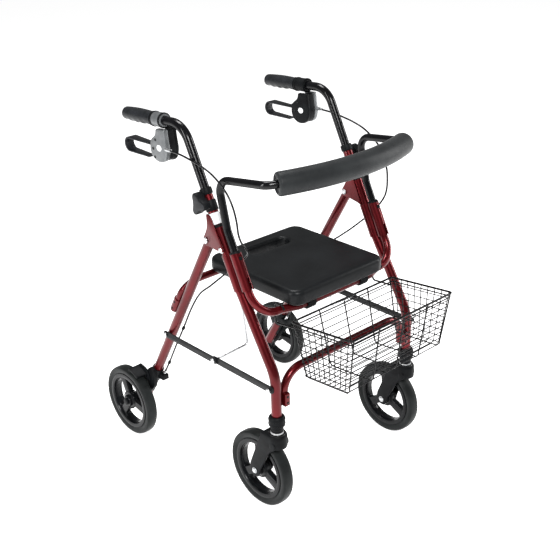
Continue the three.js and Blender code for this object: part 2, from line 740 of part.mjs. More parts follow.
// Moulded seat with a hand slot, two hinge rings on the carrier and two lugs for the lift rods.
function seat() {
  const bevel = 7;
  const outline = roundedOutline([
    [-SEAT.halfWidth + bevel, SEAT.front + bevel, SEAT.corner],
    [SEAT.halfWidth - bevel, SEAT.front + bevel, SEAT.corner],
    [SEAT.halfWidth - bevel, SEAT.rear - bevel, SEAT.corner],
    [-SEAT.halfWidth + bevel, SEAT.rear - bevel, SEAT.corner],
  ]);
  const board = new THREE.ExtrudeGeometry(outline, {
    depth: SEAT.thick - 2 * bevel,
    bevelThickness: bevel,
    bevelSize: bevel,
    bevelSegments: 2,
    curveSegments: 4,
  });
  board.translate(0, 0, SEAT.bottom + bevel);
  const slotOutline = roundedOutline([
    [-64, -29, 18],
    [64, -29, 18],
    [64, 10, 18],
    [-64, 10, 18],
  ]);
  const slot = new THREE.ExtrudeGeometry(slotOutline, { depth: 60, bevelEnabled: false, curveSegments: 4 });
  slot.translate(0, 0, SEAT.bottom - 10);
  const hinges = [-90, 90].map((x) => turned([
    [CARRIER_R + 0.5, -13],
    [15, -13],
    [15, 13],
    [CARRIER_R + 0.5, 13],
    [CARRIER_R + 0.5, -13],
  ], v(x, CARRIER_BAR_Y, CARRIER_Z), ACROSS, 16));
  const lugs = [-1, 1].map((s) => cut(
    plateX(roundedOutline([
      [LUG_Y - 13, 530, 1],
      [LUG_Y - 10, LUG_Z - 9, 6],
      [LUG_Y + 10, LUG_Z - 9, 6],
      [LUG_Y + 13, 530, 1],
    ]), s * (LUG_X - 4), s * (LUG_X + 4)),
    rod(v(s * 120, LUG_Y, LUG_Z), v(s * 150, LUG_Y, LUG_Z), LUG_HOLE_R),
  ));
  const carrierRoom = rod(
    v(-SEAT.halfWidth - 9, CARRIER_BAR_Y, CARRIER_Z),
    v(SEAT.halfWidth + 9, CARRIER_BAR_Y, CARRIER_Z),
    CARRIER_R + 0.5,
    16,
  );
  return cut(join(cut(toSolid(board), toSolid(slot)), ...hinges, ...lugs), carrierRoom);
}

// Centreline points of the backrest's curved front run, from x0 to x1.
function padPoints(x0, x1, count) {
  const points = [];
  for (let k = 0; k <= count; k += 1) {
    const x = x0 + ((x1 - x0) * k) / count;
    const t = x / PAD.halfWidth;
    const bow = 1 - t * t;
    points.push({ p: v(x, PAD.endY - PAD.sag * bow, PAD.z + PAD.rise * bow) });
  }
  return points;
}

function backrestTube() {
  const low = (s) => v(s * SIDE_X, carrierY(618), 618);
  const knee = (s) => v(s * SIDE_X, carrierY(BACK_KNEE_Z), BACK_KNEE_Z);
  const top = (s) => v(s * SIDE_X, BACK_TOP.y, BACK_TOP.z);
  const corner = (s) => v(s * 227, PAD.endY + 11, PAD.z - 1);
  return tube([
    { p: low(-1) },
    { p: knee(-1), r: 60 },
    { p: top(-1), r: 32 },
    { p: corner(-1), r: 26 },
    ...padPoints(-PAD.end, PAD.end, 8),
    { p: corner(1), r: 26 },
    { p: top(1), r: 32 },
    { p: knee(1), r: 60 },
    { p: low(1) },
  ], BACK_R, { arcSteps: 3, sides: 10 });
}

function backrestPad() {
  const points = padPoints(-PAD.end, PAD.end, 8);
  return tube(points, PAD.r, { inner: BACK_R + 0.5, sides: 12 });
}

// Eight corners of a tapered tub: floor and rim rectangles, pulled in by a wall thickness.
function tub(wall, lift) {
  const geometry = new THREE.BoxGeometry(2, 2, 2);
  const positions = geometry.attributes.position;
  for (let i = 0; i < positions.count; i += 1) {
    const atRim = positions.getZ(i) > 0;
    const atRear = positions.getY(i) > 0;
    const level = atRim ? RIM : FLOOR;
    const inward = atRear ? -wall : wall;
    positions.setX(i, positions.getX(i) * (level.halfWidth - wall));
    positions.setY(i, (atRear ? level.rear : level.front) + inward);
    positions.setZ(i, (atRear ? level.rearZ : level.frontZ) + (atRim ? lift : wall));
  }
  return toSolid(geometry);
}

// Wire basket as a thin-walled open tub, with two hooks over the seat carrier.
function basket() {
  const shell = cut(tub(0, 0), tub(3, 12));
  const y = CARRIER_CORNER_Y;
  const reach = CARRIER_R + 4.2;
  const hooks = [-1, 1].map((s) => tube([
    { p: v(s * HOOK_X, -279, 478) },
    { p: v(s * HOOK_X, y + reach, 474), r: 8 },
    { p: v(s * HOOK_X, y + reach, CARRIER_Z + reach), r: 10 },
    { p: v(s * HOOK_X, y - reach, CARRIER_Z + reach), r: 10 },
    { p: v(s * HOOK_X, y - reach, CARRIER_Z + 4) },
  ], 2.5, { sides: 8, arcSteps: 3 }));
  return join(shell, ...hooks);
}

// Where each cable passes the front leg, from its front to its rear.
const INBOARD_PASS = [
  [242, -189, 692],
  [228, -186, 672],
  [214, -178, 654],
  [208, -162, 636],
  [208, -136, 614],
  [210, -108, 590],
  [216, -76, 561],
  [223, -42, 530],
];
const OUTBOARD_PASS = [
  [251, -186, 692],
  [253, -178, 670],
  [253, -164, 648],
  [253, -146, 626],
  [252, -124, 603],
  [248, -98, 579],
  [241, -70, 553],
  [233, -38, 526],
];

// Brake cable from the housing down to the lug on the wheel bracket, clipped to the rear leg.
function brakeCable(s) {
  const past = s < 0 ? INBOARD_PASS : OUTBOARD_PASS;
  const route = [
    [250, 43, 857.5],
    [250, 4, 856],
    [250, -35, 851],
    [250, -70, 845],
    [250, -104, 835],
    [250, -135, 818],
    [250, -161, 796],
    [250, -177, 770],
    [250, -186, 742],
    [249, -189, 714],
    ...past,
    [228, -5, 498],
    [228, 34, 444],
    [227, 74, 375],
    [227, 114, 307],
    [226, 151, 243],
    [226, 178, 199],
  ].map(([x, y, z]) => v(s * x, y, z));
  const curve = new THREE.CatmullRomCurve3(route);
  const points = curve.getPoints(36).map((p) => ({ p }));
  return tube(points, 2.4, { sides: 8 });
}

// ---------------------------------------------------------------- naming and placing
[['right', -1], ['left', 1]].forEach(([side, s]) => {
  const x = s * SIDE_X;
  const inner = s * 219.9;
  const outer = s * 246.1;
  add(`front_leg_${side}`, frontLeg(x, s), 'red');
  add(`side_plate_inner_${side}`, gusset(inner, inner - s * 3, [...saddleOutline()]), 'red');
  add(`side_plate_outer_${side}`, gusset(outer, outer + s * 3, [
    [upperLegY(655) + 14, 650, 4],
    [upperLegY(650) - 10, 652, 6],
  ]), 'red');
  add(`saddle_plate_${side}`, plateX(roundedOutline(saddleOutline()), outer, outer + s * 2.4), 'red');
  add(`backrest_socket_${side}`, backrestSocket(x), 'red');
  add(`leg_collar_${side}`, legCollar(x, s), 'plastic');
  add(`height_knob_${side}`, heightKnob(x, s), 'grip');
  add(`stem_sleeve_${side}`, stemSleeve(x), 'plastic');
  add(`rear_leg_${side}`, rearLeg(x, s), 'red');
  add(`fold_bolt_${side}`, foldBolt(x, s), 'silver');
  add(`wheel_bracket_${side}`, wheelBracket(x, s), 'plastic');
  add(`brake_arm_${side}`, brakeArm(s), 'plastic');
  add(`brace_front_${side}`, braceLink(s, 246.2, BRACE_FRONT_Y, BRACE_MID_Y, true), 'brace');
  add(`brace_rear_${side}`, braceLink(s, 249.6, BRACE_REAR_Y, BRACE_MID_Y, false), 'brace');
  add(`lift_rod_${side}`, liftRod(s), 'wire');
  add(`rear_rim_${side}`, wheelRim(s * REAR_WHEEL_X, REAR_AXLE_Y, 6.3), 'black');
  add(`rear_tyre_${side}`, tyre(s * REAR_WHEEL_X, REAR_AXLE_Y), 'tyre');
  add(`caster_fork_${side}`, casterFork(x), 'plastic');
  add(`caster_rim_${side}`, wheelRim(x, STEM_Y + TRAIL, 5.3), 'black');
  add(`caster_tyre_${side}`, tyre(x, STEM_Y + TRAIL), 'tyre');
  add(`handle_tube_${side}`, handleTube(x), 'black');
  add(`hand_grip_${side}`, handGrip(x), 'grip');
  add(`brake_housing_${side}`, brakeHousing(x, s), 'silver');
  add(`brake_lever_${side}`, brakeLever(x), 'grip');
  add(`brake_cable_${side}`, brakeCable(s), 'plastic');
});
add('seat_carrier', seatCarrier(), 'red');
add('cross_bar', crossBar(), 'red');
add('rear_arch', rearArch(), 'red');
add('seat', seat(), 'seat');
add('backrest_tube', backrestTube(), 'black');
add('backrest_pad', backrestPad(), 'foam');
add('basket', basket(), 'wire');

export default rollator;
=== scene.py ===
import json
import math

import bmesh
import bpy
from mathutils import Matrix, Quaternion, Vector


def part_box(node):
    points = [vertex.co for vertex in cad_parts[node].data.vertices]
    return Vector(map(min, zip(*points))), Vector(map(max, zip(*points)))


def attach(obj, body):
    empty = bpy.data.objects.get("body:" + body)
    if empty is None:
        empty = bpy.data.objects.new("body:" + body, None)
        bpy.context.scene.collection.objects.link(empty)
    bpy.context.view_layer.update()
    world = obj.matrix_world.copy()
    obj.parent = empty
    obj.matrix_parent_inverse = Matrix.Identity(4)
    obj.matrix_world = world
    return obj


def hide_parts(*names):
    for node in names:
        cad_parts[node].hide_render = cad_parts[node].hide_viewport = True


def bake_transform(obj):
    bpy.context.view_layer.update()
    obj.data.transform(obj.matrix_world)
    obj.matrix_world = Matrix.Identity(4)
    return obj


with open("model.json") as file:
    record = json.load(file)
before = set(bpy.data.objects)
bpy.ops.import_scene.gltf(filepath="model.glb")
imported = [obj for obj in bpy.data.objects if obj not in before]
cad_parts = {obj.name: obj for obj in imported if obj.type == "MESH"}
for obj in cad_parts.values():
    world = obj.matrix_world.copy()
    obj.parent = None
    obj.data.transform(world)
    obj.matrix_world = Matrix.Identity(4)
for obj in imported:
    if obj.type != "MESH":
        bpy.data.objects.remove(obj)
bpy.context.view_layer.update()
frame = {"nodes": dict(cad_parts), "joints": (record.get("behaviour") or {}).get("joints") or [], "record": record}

# ------------------------------------------------------------------ places taken from the frame
JOINT = {j["name"]: j for j in frame["joints"]}
BODIES = frame["record"]["behaviour"]["bodies"]
BODY_OF = {node: body for body, nodes in BODIES.items() for node in nodes}


def joint_at(name):
    return Vector(JOINT[name]["pos_m"])


PIVOT = joint_at("fold")
HINGE = joint_at("seat_hinge")
STEM = joint_at("caster_left_swivel")
CASTER_AXLE = joint_at("caster_left_spin")
REAR_AXLE = joint_at("rear_wheel_left_spin")
BRACE_FRONT = joint_at("brace_front_left_pivot")
BRACE_REAR = joint_at("brace_rear_left_pivot")
BRACE_MIDDLE = joint_at("lift_rod_left_pivot")
LEVER_PIN = joint_at("brake_lever_left_squeeze")
KNOB = joint_at("height_knob_left_turn")
SEAT_LOW, SEAT_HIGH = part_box("seat")
HANDLE_UP = Vector(JOINT["handle_left_height"]["axis"]).normalized()
MIDDLE_Y = PIVOT.y + 0.070
SIDES = (("right", -1), ("left", 1))

# ------------------------------------------------------------------ driving dimensions, in metres
SIDE_X = STEM.x
LEG_R = 0.0127
HANDLE_R = 0.0111
CARRIER_R = 0.010
BACK_R = 0.0095
ROD_R = 0.003
CABLE_R = 0.0024
LEG_TOP_Z = 0.772
KNEE = Vector((0, -0.1114, 0.578))
STEM_Z = 0.2323
LOWER_LEAN = math.radians(31.2)
REAR_LEAN = math.radians(30.35)
REAR_END_Z = 0.092
CARRIER_AHEAD = 0.03285
CARRIER_BEND = Vector((0, MIDDLE_Y - 0.199, 0.565))
CARRIER_CORNER_Y = MIDDLE_Y - 0.231
CARRIER_STEP_X = (0.164, 0.122)
HOOK_X = 0.169
BACK_KNEE_Z = 0.703
BACK_TOP = Vector((0, MIDDLE_Y - 0.106, 0.818))
WHEEL_R = 0.100
TYRE_HALF = 0.016
HUB_HALF = 0.017
HANDLE_CORNER_Z = 0.923
GRIP_DROP = math.radians(3)
GRIP_END = 0.223
CABLE_EXIT = Vector((0.250, -0.0435, 0.8575))
PAD_R = 0.0272
KNOB_DEPTH = (0.0173, 0.037)


# ------------------------------------------------------------------ materials
def shader(name, colour, roughness, metallic=0.0, **sockets):
    """A Principled material whose constants sit on its own sockets; returns it with its shader node."""
    material = bpy.data.materials.new(name + "_finish")
    material["slot"] = name
    material.use_nodes = True
    bsdf = material.node_tree.nodes["Principled BSDF"]
    bsdf.inputs["Base Color"].default_value = (*colour, 1)
    bsdf.inputs["Roughness"].default_value = roughness
    bsdf.inputs["Metallic"].default_value = metallic
    for socket, value in sockets.items():
        bsdf.inputs[socket.replace("_", " ")].default_value = value
    return material, bsdf


def node(material, kind, **settings):
    """A new shader node; a setting is a socket's value or, if no socket has that name, a property."""
    made = material.node_tree.nodes.new(kind)
    for key, value in settings.items():
        if key in made.inputs:
            made.inputs[key].default_value = value
        else:
            setattr(made, key, value)
    return made


def noise(material, scale, detail=4, roughness=0.5):
    """Noise in the piece's own space, so that it moves with the piece."""
    texture = node(material, "ShaderNodeTexNoise", Scale=scale, Detail=detail, Roughness=roughness)
    place = node(material, "ShaderNodeTexCoord")
    material.node_tree.links.new(place.outputs["Object"], texture.inputs["Vector"])
    return texture


def vary_colour(material, bsdf, texture, dark, light):
    ramp = node(material, "ShaderNodeValToRGB")
    ramp.color_ramp.elements[0].position = 0.3
    ramp.color_ramp.elements[0].color = (*dark, 1)
    ramp.color_ramp.elements[1].position = 0.7
    ramp.color_ramp.elements[1].color = (*light, 1)
    links = material.node_tree.links
    links.new(texture.outputs["Fac"], ramp.inputs["Fac"])
    links.new(ramp.outputs["Color"], bsdf.inputs["Base Color"])


def vary_roughness(material, bsdf, texture, low, high):
    span = node(material, "ShaderNodeMapRange")
    span.inputs["To Min"].default_value = low
    span.inputs["To Max"].default_value = high
    links = material.node_tree.links
    links.new(texture.outputs["Fac"], span.inputs["Value"])
    links.new(span.outputs["Result"], bsdf.inputs["Roughness"])


def bump(material, bsdf, texture, strength, distance, output="Fac"):
    raised = node(material, "ShaderNodeBump", Strength=strength, Distance=distance)
    links = material.node_tree.links
    links.new(texture.outputs[output], raised.inputs["Height"])
    links.new(raised.outputs["Normal"], bsdf.inputs["Normal"])


def finish(slot, colour, roughness, metallic, tint, gloss, grain, **sockets):
    """A material with its colour, its gloss and its surface all varied by noise.

    tint is (scale, detail, dark, light), gloss is (scale, detail, low, high) or None, and grain is
    (scale, detail, noise roughness, strength, distance) or None.
    """
    material, bsdf = shader(slot, colour, roughness, metallic, **sockets)
    scale, detail, dark, light = tint
    vary_colour(material, bsdf, noise(material, scale, detail), dark, light)
    if gloss:
        scale, detail, low, high = gloss
        vary_roughness(material, bsdf, noise(material, scale, detail), low, high)
    if grain:
        scale, detail, rough, strength, distance = grain
        bump(material, bsdf, noise(material, scale, detail, rough), strength, distance)
    return material, bsdf


def red_paint():
    """Candy red over a fine metallic flake, under clear coat."""
    return finish("red_paint", (0.092, 0.0020, 0.004), 0.24, 0.7,
                  (14, 3, (0.066, 0.0015, 0.003), (0.118, 0.003, 0.006)), (40, 4, 0.24, 0.36),
                  (2600, 1, 0.5, 0.05, 0.0002), Coat_Weight=0.20, Coat_Roughness=0.05,
                  Specular_IOR_Level=0.3)[0]


def black_paint():
    """Gloss black of the handle and backrest tubes, the cables and the fork bearings."""
    return finish("black_paint", (0.002, 0.002, 0.0025), 0.16, 0.0,
                  (25, 4, (0.0015, 0.0015, 0.002), (0.004, 0.004, 0.005)), (30, 4, 0.12, 0.24),
                  (160, 2, 0.5, 0.03, 0.0003), Coat_Weight=0.0, Specular_IOR_Level=0.22)[0]


def link_steel():
    """Blackened steel of the brace bars, and of some rivets and screws."""
    return finish("link_steel", (0.006, 0.0065, 0.007), 0.42, 0.0,
                  (60, 4, (0.004, 0.0045, 0.005), (0.011, 0.012, 0.013)), (45, 4, 0.32, 0.5),
                  (900, 2, 0.5, 0.12, 0.0002), Specular_IOR_Level=0.12)[0]


def black_plastic():
    """Moulded glass-filled nylon with a fine matt grain."""
    return finish("black_plastic", (0.004, 0.0045, 0.005), 0.42, 0.0,
                  (35, 4, (0.003, 0.003, 0.0035), (0.007, 0.008, 0.009)), (55, 4, 0.36, 0.56),
                  (1400, 2, 0.5, 0.16, 0.0002), Specular_IOR_Level=0.07)[0]


def seat_plastic():
    """Satin blow-moulded seat: fine leather-like grain and slow waves in the skin."""
    material, bsdf = finish("seat_plastic", (0.006, 0.0065, 0.007), 0.34, 0.0,
                            (9, 5, (0.0045, 0.005, 0.0055), (0.009, 0.010, 0.011)), (22, 5, 0.28, 0.44),
                            None, Specular_IOR_Level=0.12)
    grain = node(material, "ShaderNodeTexVoronoi", Scale=900)
    place = node(material, "ShaderNodeTexCoord")
    material.node_tree.links.new(place.outputs["Object"], grain.inputs["Vector"])
    bump(material, bsdf, grain, 0.10, 0.00025, "Distance")
    return material


def pad_foam():
    """Skinned closed-cell foam: dark grey, with a soft sheen and fine pores."""
    return finish("pad_foam", (0.012, 0.013, 0.014), 0.42, 0.0,
                  (18, 6, (0.008, 0.009, 0.010), (0.018, 0.020, 0.021)), (70, 4, 0.38, 0.54),
                  (1100, 4, 0.7, 0.28, 0.0004), Sheen_Weight=0.05, Sheen_Roughness=0.5,
                  Specular_IOR_Level=0.14)[0]


def rim_plastic():
    """Glossy moulded wheel centres, in the black plastic's slot."""
    return finish("black_plastic", (0.004, 0.0045, 0.005), 0.2, 0.0,
                  (30, 4, (0.003, 0.003, 0.0035), (0.007, 0.008, 0.009)), (40, 4, 0.14, 0.28),
                  (300, 2, 0.5, 0.04, 0.0002), Specular_IOR_Level=0.14)[0]


def tyre_rubber():
    return finish("tyre_rubber", (0.004, 0.0045, 0.005), 0.42, 0.0,
                  (26, 6, (0.007, 0.008, 0.008), (0.016, 0.018, 0.018)), (50, 4, 0.34, 0.52),
                  (700, 5, 0.6, 0.25, 0.0004), Specular_IOR_Level=0.09)[0]


def grip_rubber():
    return finish("grip_rubber", (0.006, 0.007, 0.008), 0.3, 0.0,
                  (60, 4, (0.007, 0.008, 0.009), (0.016, 0.017, 0.020)), (80, 4, 0.26, 0.42),
                  (1300, 3, 0.5, 0.2, 0.0003), Specular_IOR_Level=0.2)[0]


# Silver of the outboard brake shells and the near clamp ring: a painted highlight on housings that are one dark
# plastic.
def silver_plastic():
    return finish("silver_plastic", (0.13, 0.137, 0.142), 0.34, 0.45,
                  (45, 4, (0.10, 0.106, 0.11), (0.165, 0.172, 0.178)), (70, 4, 0.3, 0.46),
                  (1500, 2, 0.5, 0.08, 0.0002), Coat_Weight=0.2)[0]


def zinc():
    return finish("zinc", (0.62, 0.63, 0.64), 0.3, 1.0,
                  (120, 4, (0.46, 0.47, 0.48), (0.74, 0.75, 0.76)), (260, 4, 0.22, 0.42),
                  (1800, 2, 0.5, 0.1, 0.0002))[0]


def basket_wire():
    """Black plastic-dipped wire."""
    return finish("basket_wire", (0.002, 0.002, 0.0022), 0.34, 0.0,
                  (90, 4, (0.0015, 0.0015, 0.0017), (0.004, 0.004, 0.0045)), (150, 4, 0.25, 0.42),
                  (500, 2, 0.5, 0.12, 0.0003), Specular_IOR_Level=0.15)[0]


def white_badge_and_reflection():
    """White of the blank badges, of the painted reflection band on each leg and of the stem washers, in the silver
    plastic's slot.
    """
    return finish("silver_plastic", (0.78, 0.79, 0.80), 0.3, 0.0,
                  (300, 4, (0.74, 0.75, 0.76), (0.82, 0.83, 0.84)), None,
                  (1500, 2, 0.5, 0.05, 0.0001))[0]


RED = red_paint()
BLACK = black_paint()
STEEL = link_steel()
PLASTIC = black_plastic()
SEAT = seat_plastic()
FOAM = pad_foam()
TYRE = tyre_rubber()
GRIP = grip_rubber()
SILVER = silver_plastic()
ZINC = zinc()
WIRE = basket_wire()
WHITE_BADGE_AND_REFLECTION = white_badge_and_reflection()
RIM = rim_plastic()


# ------------------------------------------------------------------ mesh tools
def place(name, mesh, body, material, stands_for=(), smooth=35):
    """Make a mesh a piece: smooth shading up to an angle, a material, a body and what it stands for."""
    mesh.materials.clear()
    mesh.materials.append(material)
    for polygon in mesh.polygons:
        polygon.use_smooth = True
    mesh.set_sharp_from_angle(angle=math.radians(smooth))
    made = bpy.data.objects.new(name, mesh)
    bpy.context.scene.collection.objects.link(made)
    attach(made, body)
    if stands_for:
        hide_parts(*stands_for)
    return made


def mesh_of(name, vertices, faces):
    mesh = bpy.data.meshes.new(name)
    mesh.from_pydata([tuple(p) for p in vertices], [], faces)
    bm = bmesh.new()
    bm.from_mesh(mesh)
    bmesh.ops.remove_doubles(bm, verts=bm.verts, dist=1e-6)
    bmesh.ops.recalc_face_normals(bm, faces=bm.faces)
    bm.to_mesh(mesh)
    bm.free()
    return mesh


def bent(corners, steps):
    """Points along straight runs joined by arcs; a corner is a point or a (point, radius) pair."""
    corners = [c if isinstance(c, tuple) and len(c) == 2 else (c, 0) for c in corners]
    corners = [(Vector(p), r) for p, r in corners]
    points = []
    for i, (p, r) in enumerate(corners):
        if not r:
            points.append(p)
            continue
        back = (corners[i - 1][0] - p).normalized()
        on = (corners[i + 1][0] - p).normalized()
        half = back.angle(on) / 2
        centre = p + (back + on).normalized() * (r / math.sin(half))
        start = p + back * (r / math.tan(half)) - centre
        end = p + on * (r / math.tan(half)) - centre
        sweep = start.angle(end)
        for k in range(steps + 1):
            t = k / steps
            a = math.sin((1 - t) * sweep) / math.sin(sweep)
            b = math.sin(t * sweep) / math.sin(sweep)
            points.append(centre + start * a + end * b)
    return points


def swept(points, section, closed=False, start=0):
    """Vertices and faces of an (across, up) section carried along points without twisting."""
    points = [Vector(p) for p in points]
    count = len(points)
    tangents = []
    for i in range(count):
        before = points[i - 1] if i or closed else points[0]
        after = points[(i + 1) % count] if i < count - 1 or closed else points[-1]
        tangents.append((after - before).normalized())
    up = Vector((0, 0, 1)) if abs(tangents[0].z) < 0.9 else Vector((0, 1, 0))
    across = tangents[0].cross(up).normalized()
    vertices = []
    for i, p in enumerate(points):
        if i:
            turn = tangents[i - 1].rotation_difference(tangents[i])
            across = turn @ across
        upward = across.cross(tangents[i]).normalized()
        vertices += [p + across * u + upward * w for u, w in section]
    faces = skin(count, len(section), closed) + ([] if closed else caps(count, len(section)))
    return vertices, [[v + start for v in face] for face in faces]


def ring(radius, sides=28, squash=1.0):
    """A circle's points, or an oval's where squash isn't 1."""
    turns = [2 * math.pi * k / sides for k in range(sides)]
    return [(radius * math.cos(a), radius * squash * math.sin(a)) for a in turns]


def skin(rows, count, closed=False):
    """Faces between rows of count points each; closed joins the last row to the first."""
    faces = []
    for i in range(rows if closed else rows - 1):
        for k in range(count):
            a, b = i * count, (i + 1) % rows * count
            nearby = (k + 1) % count
            faces.append([a + k, a + nearby, b + nearby, b + k])
    return faces


def caps(rows, count):
    """Faces that close the first and the last row."""
    return [list(range(count)), [(rows - 1) * count + k for k in reversed(range(count))]]


def mirrored(half, middle=()):
    """A closed profile from its first half and the points on its middle plane."""
    return [*half, *middle, *((r, -a) for r, a in reversed(half)), half[0]]


def tube(name, corners, radius, body, material, stands_for=(), sides=28):
    """A round tube with eased ends."""
    points = bent(corners, 12)
    ease = min(0.0008, radius / 4)
    first = (points[1] - points[0]).normalized()
    last = (points[-2] - points[-1]).normalized()
    path = [points[0], points[0] + first * ease, *points[1:-1], points[-1] + last * ease, points[-1]]
    vertices, faces = swept(path, ring(radius, sides))
    for end, centre in ((0, path[0]), (len(path) - 1, path[-1])):
        for k in range(end * sides, (end + 1) * sides):
            vertices[k] = centre + (vertices[k] - centre) * (1 - ease / radius)
    return place(name, mesh_of(name, vertices, faces), body, material, stands_for)


def wires(name, runs, body, material, stands_for=(), sides=8):
    """Several wires in one piece; a run is (points, radius, closed)."""
    vertices = []
    faces = []
    for points, radius, closed in runs:
        more, new = swept(points, ring(radius, sides), closed, start=len(vertices))
        vertices += more
        faces += new
    return place(name, mesh_of(name, vertices, faces), body, material, stands_for, 60)


def lathe(profile, origin, axis, segments=64):
    """Vertices and faces of (radius, along) points turned about an axis."""
    axis = Vector(axis).normalized()
    across = axis.orthogonal().normalized()
    vertices = []
    for k in range(segments):
        turn = Quaternion(axis, 2 * math.pi * k / segments)
        outward = turn @ across
        vertices += [Vector(origin) + outward * r + axis * a for r, a in profile]
    n = len(profile)
    faces = []
    for k in range(segments):
        for i in range(n - 1):
            a = k * n + i
            b = (k + 1) % segments * n + i
            faces.append([a, b, b + 1, a + 1])
    return vertices, faces


def turned(name, profile, origin, axis, body, material, stands_for=(), segments=64):
    vertices, faces = lathe(profile, origin, axis, segments)
    return place(name, mesh_of(name, vertices, faces), body, material, stands_for, 30)


def outline_mesh(name, loops, depth, rounding, matrix):
    """Flat outlines given depth and rounded edges, then moved by a matrix. Inner outlines are holes."""
    curve = bpy.data.curves.new(name, "CURVE")
    curve.dimensions = "2D"
    curve.fill_mode = "BOTH"
    curve.extrude = depth / 2 - rounding
    curve.bevel_depth = rounding
    curve.bevel_resolution = 2
    curve.offset = -rounding
    for loop in loops:
        spline = curve.splines.new("POLY")
        spline.points.add(len(loop) - 1)
        spline.use_cyclic_u = True
        for point, (u, w) in zip(spline.points, loop):
            point.co = (u, w, 0, 1)
    holder = bpy.data.objects.new(name, curve)
    bpy.context.scene.collection.objects.link(holder)
    bpy.context.view_layer.update()
    mesh = bpy.data.meshes.new_from_object(holder.evaluated_get(bpy.context.evaluated_depsgraph_get()))
    bpy.data.objects.remove(holder)
    bpy.data.curves.remove(curve)
    mesh.transform(matrix)
    bm = bmesh.new()
    bm.from_mesh(mesh)
    bmesh.ops.remove_doubles(bm, verts=bm.verts, dist=1e-5)
    bmesh.ops.recalc_face_normals(bm, faces=bm.faces)
    bm.to_mesh(mesh)
    bm.free()
    return mesh


def pressed(name, loops, depth, rounding, matrix, body, material, stands_for=()):
    """A flat piece with rounded edges, as outline_mesh makes it."""
    return place(name, outline_mesh(name, loops, depth, rounding, matrix), body, material, stands_for)


def side_plane(x):
    """Turns outlines in (y, z) to face along X, centred at x."""
    return Matrix(((0, 0, 1, x), (1, 0, 0, 0), (0, 1, 0, 0), (0, 0, 0, 1)))


def smooth_loop(corners, steps=6):
    """A closed outline with rounded corners; a corner is (u, w, radius)."""
    loop = []
    n = len(corners)
    for i, (u, w, r) in enumerate(corners):
        here = Vector((u, w))
        back = Vector(corners[i - 1][:2]) - here
        on = Vector(corners[(i + 1) % n][:2]) - here
        reach = min(r, 0.48 * back.length, 0.48 * on.length)
        start = here + back.normalized() * reach
        end = here + on.normalized() * reach
        for k in range(steps + 1):
            t = k / steps
            loop.append(start * (1 - t) ** 2 + here * (2 * t * (1 - t)) + end * t ** 2)
    return loop


def refined(node_name, material, bevel):
    """A CAD piece with its flat faces merged and its edges eased."""
    mesh = frame["nodes"][node_name].data.copy()
    bm = bmesh.new()
    bm.from_mesh(mesh)
    bmesh.ops.remove_doubles(bm, verts=bm.verts, dist=2e-5)
    bmesh.ops.dissolve_limit(bm, angle_limit=math.radians(2), verts=bm.verts, edges=bm.edges)
    edges = [e for e in bm.edges if e.is_manifold and e.calc_face_angle(0) > math.radians(32)]
    bmesh.ops.bevel(bm, geom=edges, offset=bevel, segments=2, profile=0.5, affect="EDGES",
                    clamp_overlap=True)
    bm.to_mesh(mesh)
    bm.free()
    return place(node_name + "_finish", mesh, BODY_OF[node_name], material, [node_name], 40)


def button_head(name, at, axis, radius, height, body, material=ZINC, hexagon=False):
    """A domed rivet, or a hexagon bolt head on a washer."""
    if hexagon:
        washer = [(0, 0), (radius * 1.25, 0), (radius * 1.25, height * 0.25), (0, height * 0.25)]
        turned(name + "_washer", washer, at, axis, body, material, segments=32)
        head = [(0, height * 0.25), (radius, height * 0.25), (radius, height * 0.85), (radius * 0.8, height),
                (0, height)]
        vertices, faces = lathe(head, at, axis, 6)
        return place(name, mesh_of(name, vertices, faces), body, material, smooth=20)
    dome = [(0, 0), (radius, 0), (radius, height * 0.3)]
    dome += [(radius * math.cos(a), height * (0.3 + 0.7 * math.sin(a)))
             for a in (math.pi * k / 12 for k in range(1, 7))]
    return turned(name, dome, at, axis, body, material, segments=24)


# ------------------------------------------------------------------ lines the tubes follow
def upper_leg(z, x=0.0):
    return Vector((x, KNEE.y + (z - KNEE.z) * HANDLE_UP.y / HANDLE_UP.z, z))


def carrier_arm(z, x=0.0):
    return upper_leg(z, x) - Vector((0, CARRIER_AHEAD, 0))


def rear_leg_at(z, x=0.0):
    return Vector((x, PIVOT.y + (PIVOT.z - z) * math.tan(REAR_LEAN), z))


def arch_at(z, x=0.0):
    offset = (LEG_R + BACK_R + 0.0005) / math.cos(REAR_LEAN)
    return rear_leg_at(z, x) + Vector((0, offset, 0))


def grip_axis(along, x=0.0):
    corner = upper_leg(HANDLE_CORNER_Z, x)
    return corner + Vector((0, math.cos(GRIP_DROP), -math.sin(GRIP_DROP))) * along


# ------------------------------------------------------------------ side frames
def front_leg(side, s):
    x = s * SIDE_X
    bend_z = KNEE.z - (KNEE.y - STEM.y) / math.tan(LOWER_LEAN)
    corners = [upper_leg(LEG_TOP_Z, x), ((x, KNEE.y, KNEE.z), 0.3), ((x, STEM.y, bend_z), 0.11),
               (x, STEM.y, STEM_Z)]
    tube(f"front_leg_tube_{side}", corners, LEG_R, "frame", RED, [f"front_leg_{side}"])


def rear_leg(side, s):
    x = s * SIDE_X
    top = rear_leg_at(PIVOT.z, x) + Vector((0, -math.sin(REAR_LEAN), math.cos(REAR_LEAN))) * 0.017
    tube(f"rear_leg_tube_{side}", [top, rear_leg_at(REAR_END_Z, x)], LEG_R, "rear_frame", RED,
         [f"rear_leg_{side}"])
    back = Vector((0, math.cos(REAR_LEAN), math.sin(REAR_LEAN)))
    outward = (Vector((s, 0, 0)) + back * 0.6).normalized()
    for k, z in enumerate((0.307, 0.242)):
        button_head(f"leg_rivet_{k}_{side}", rear_leg_at(z, x) + outward * (LEG_R - 0.0003), outward, 0.0035,
                    0.0012, "rear_frame")


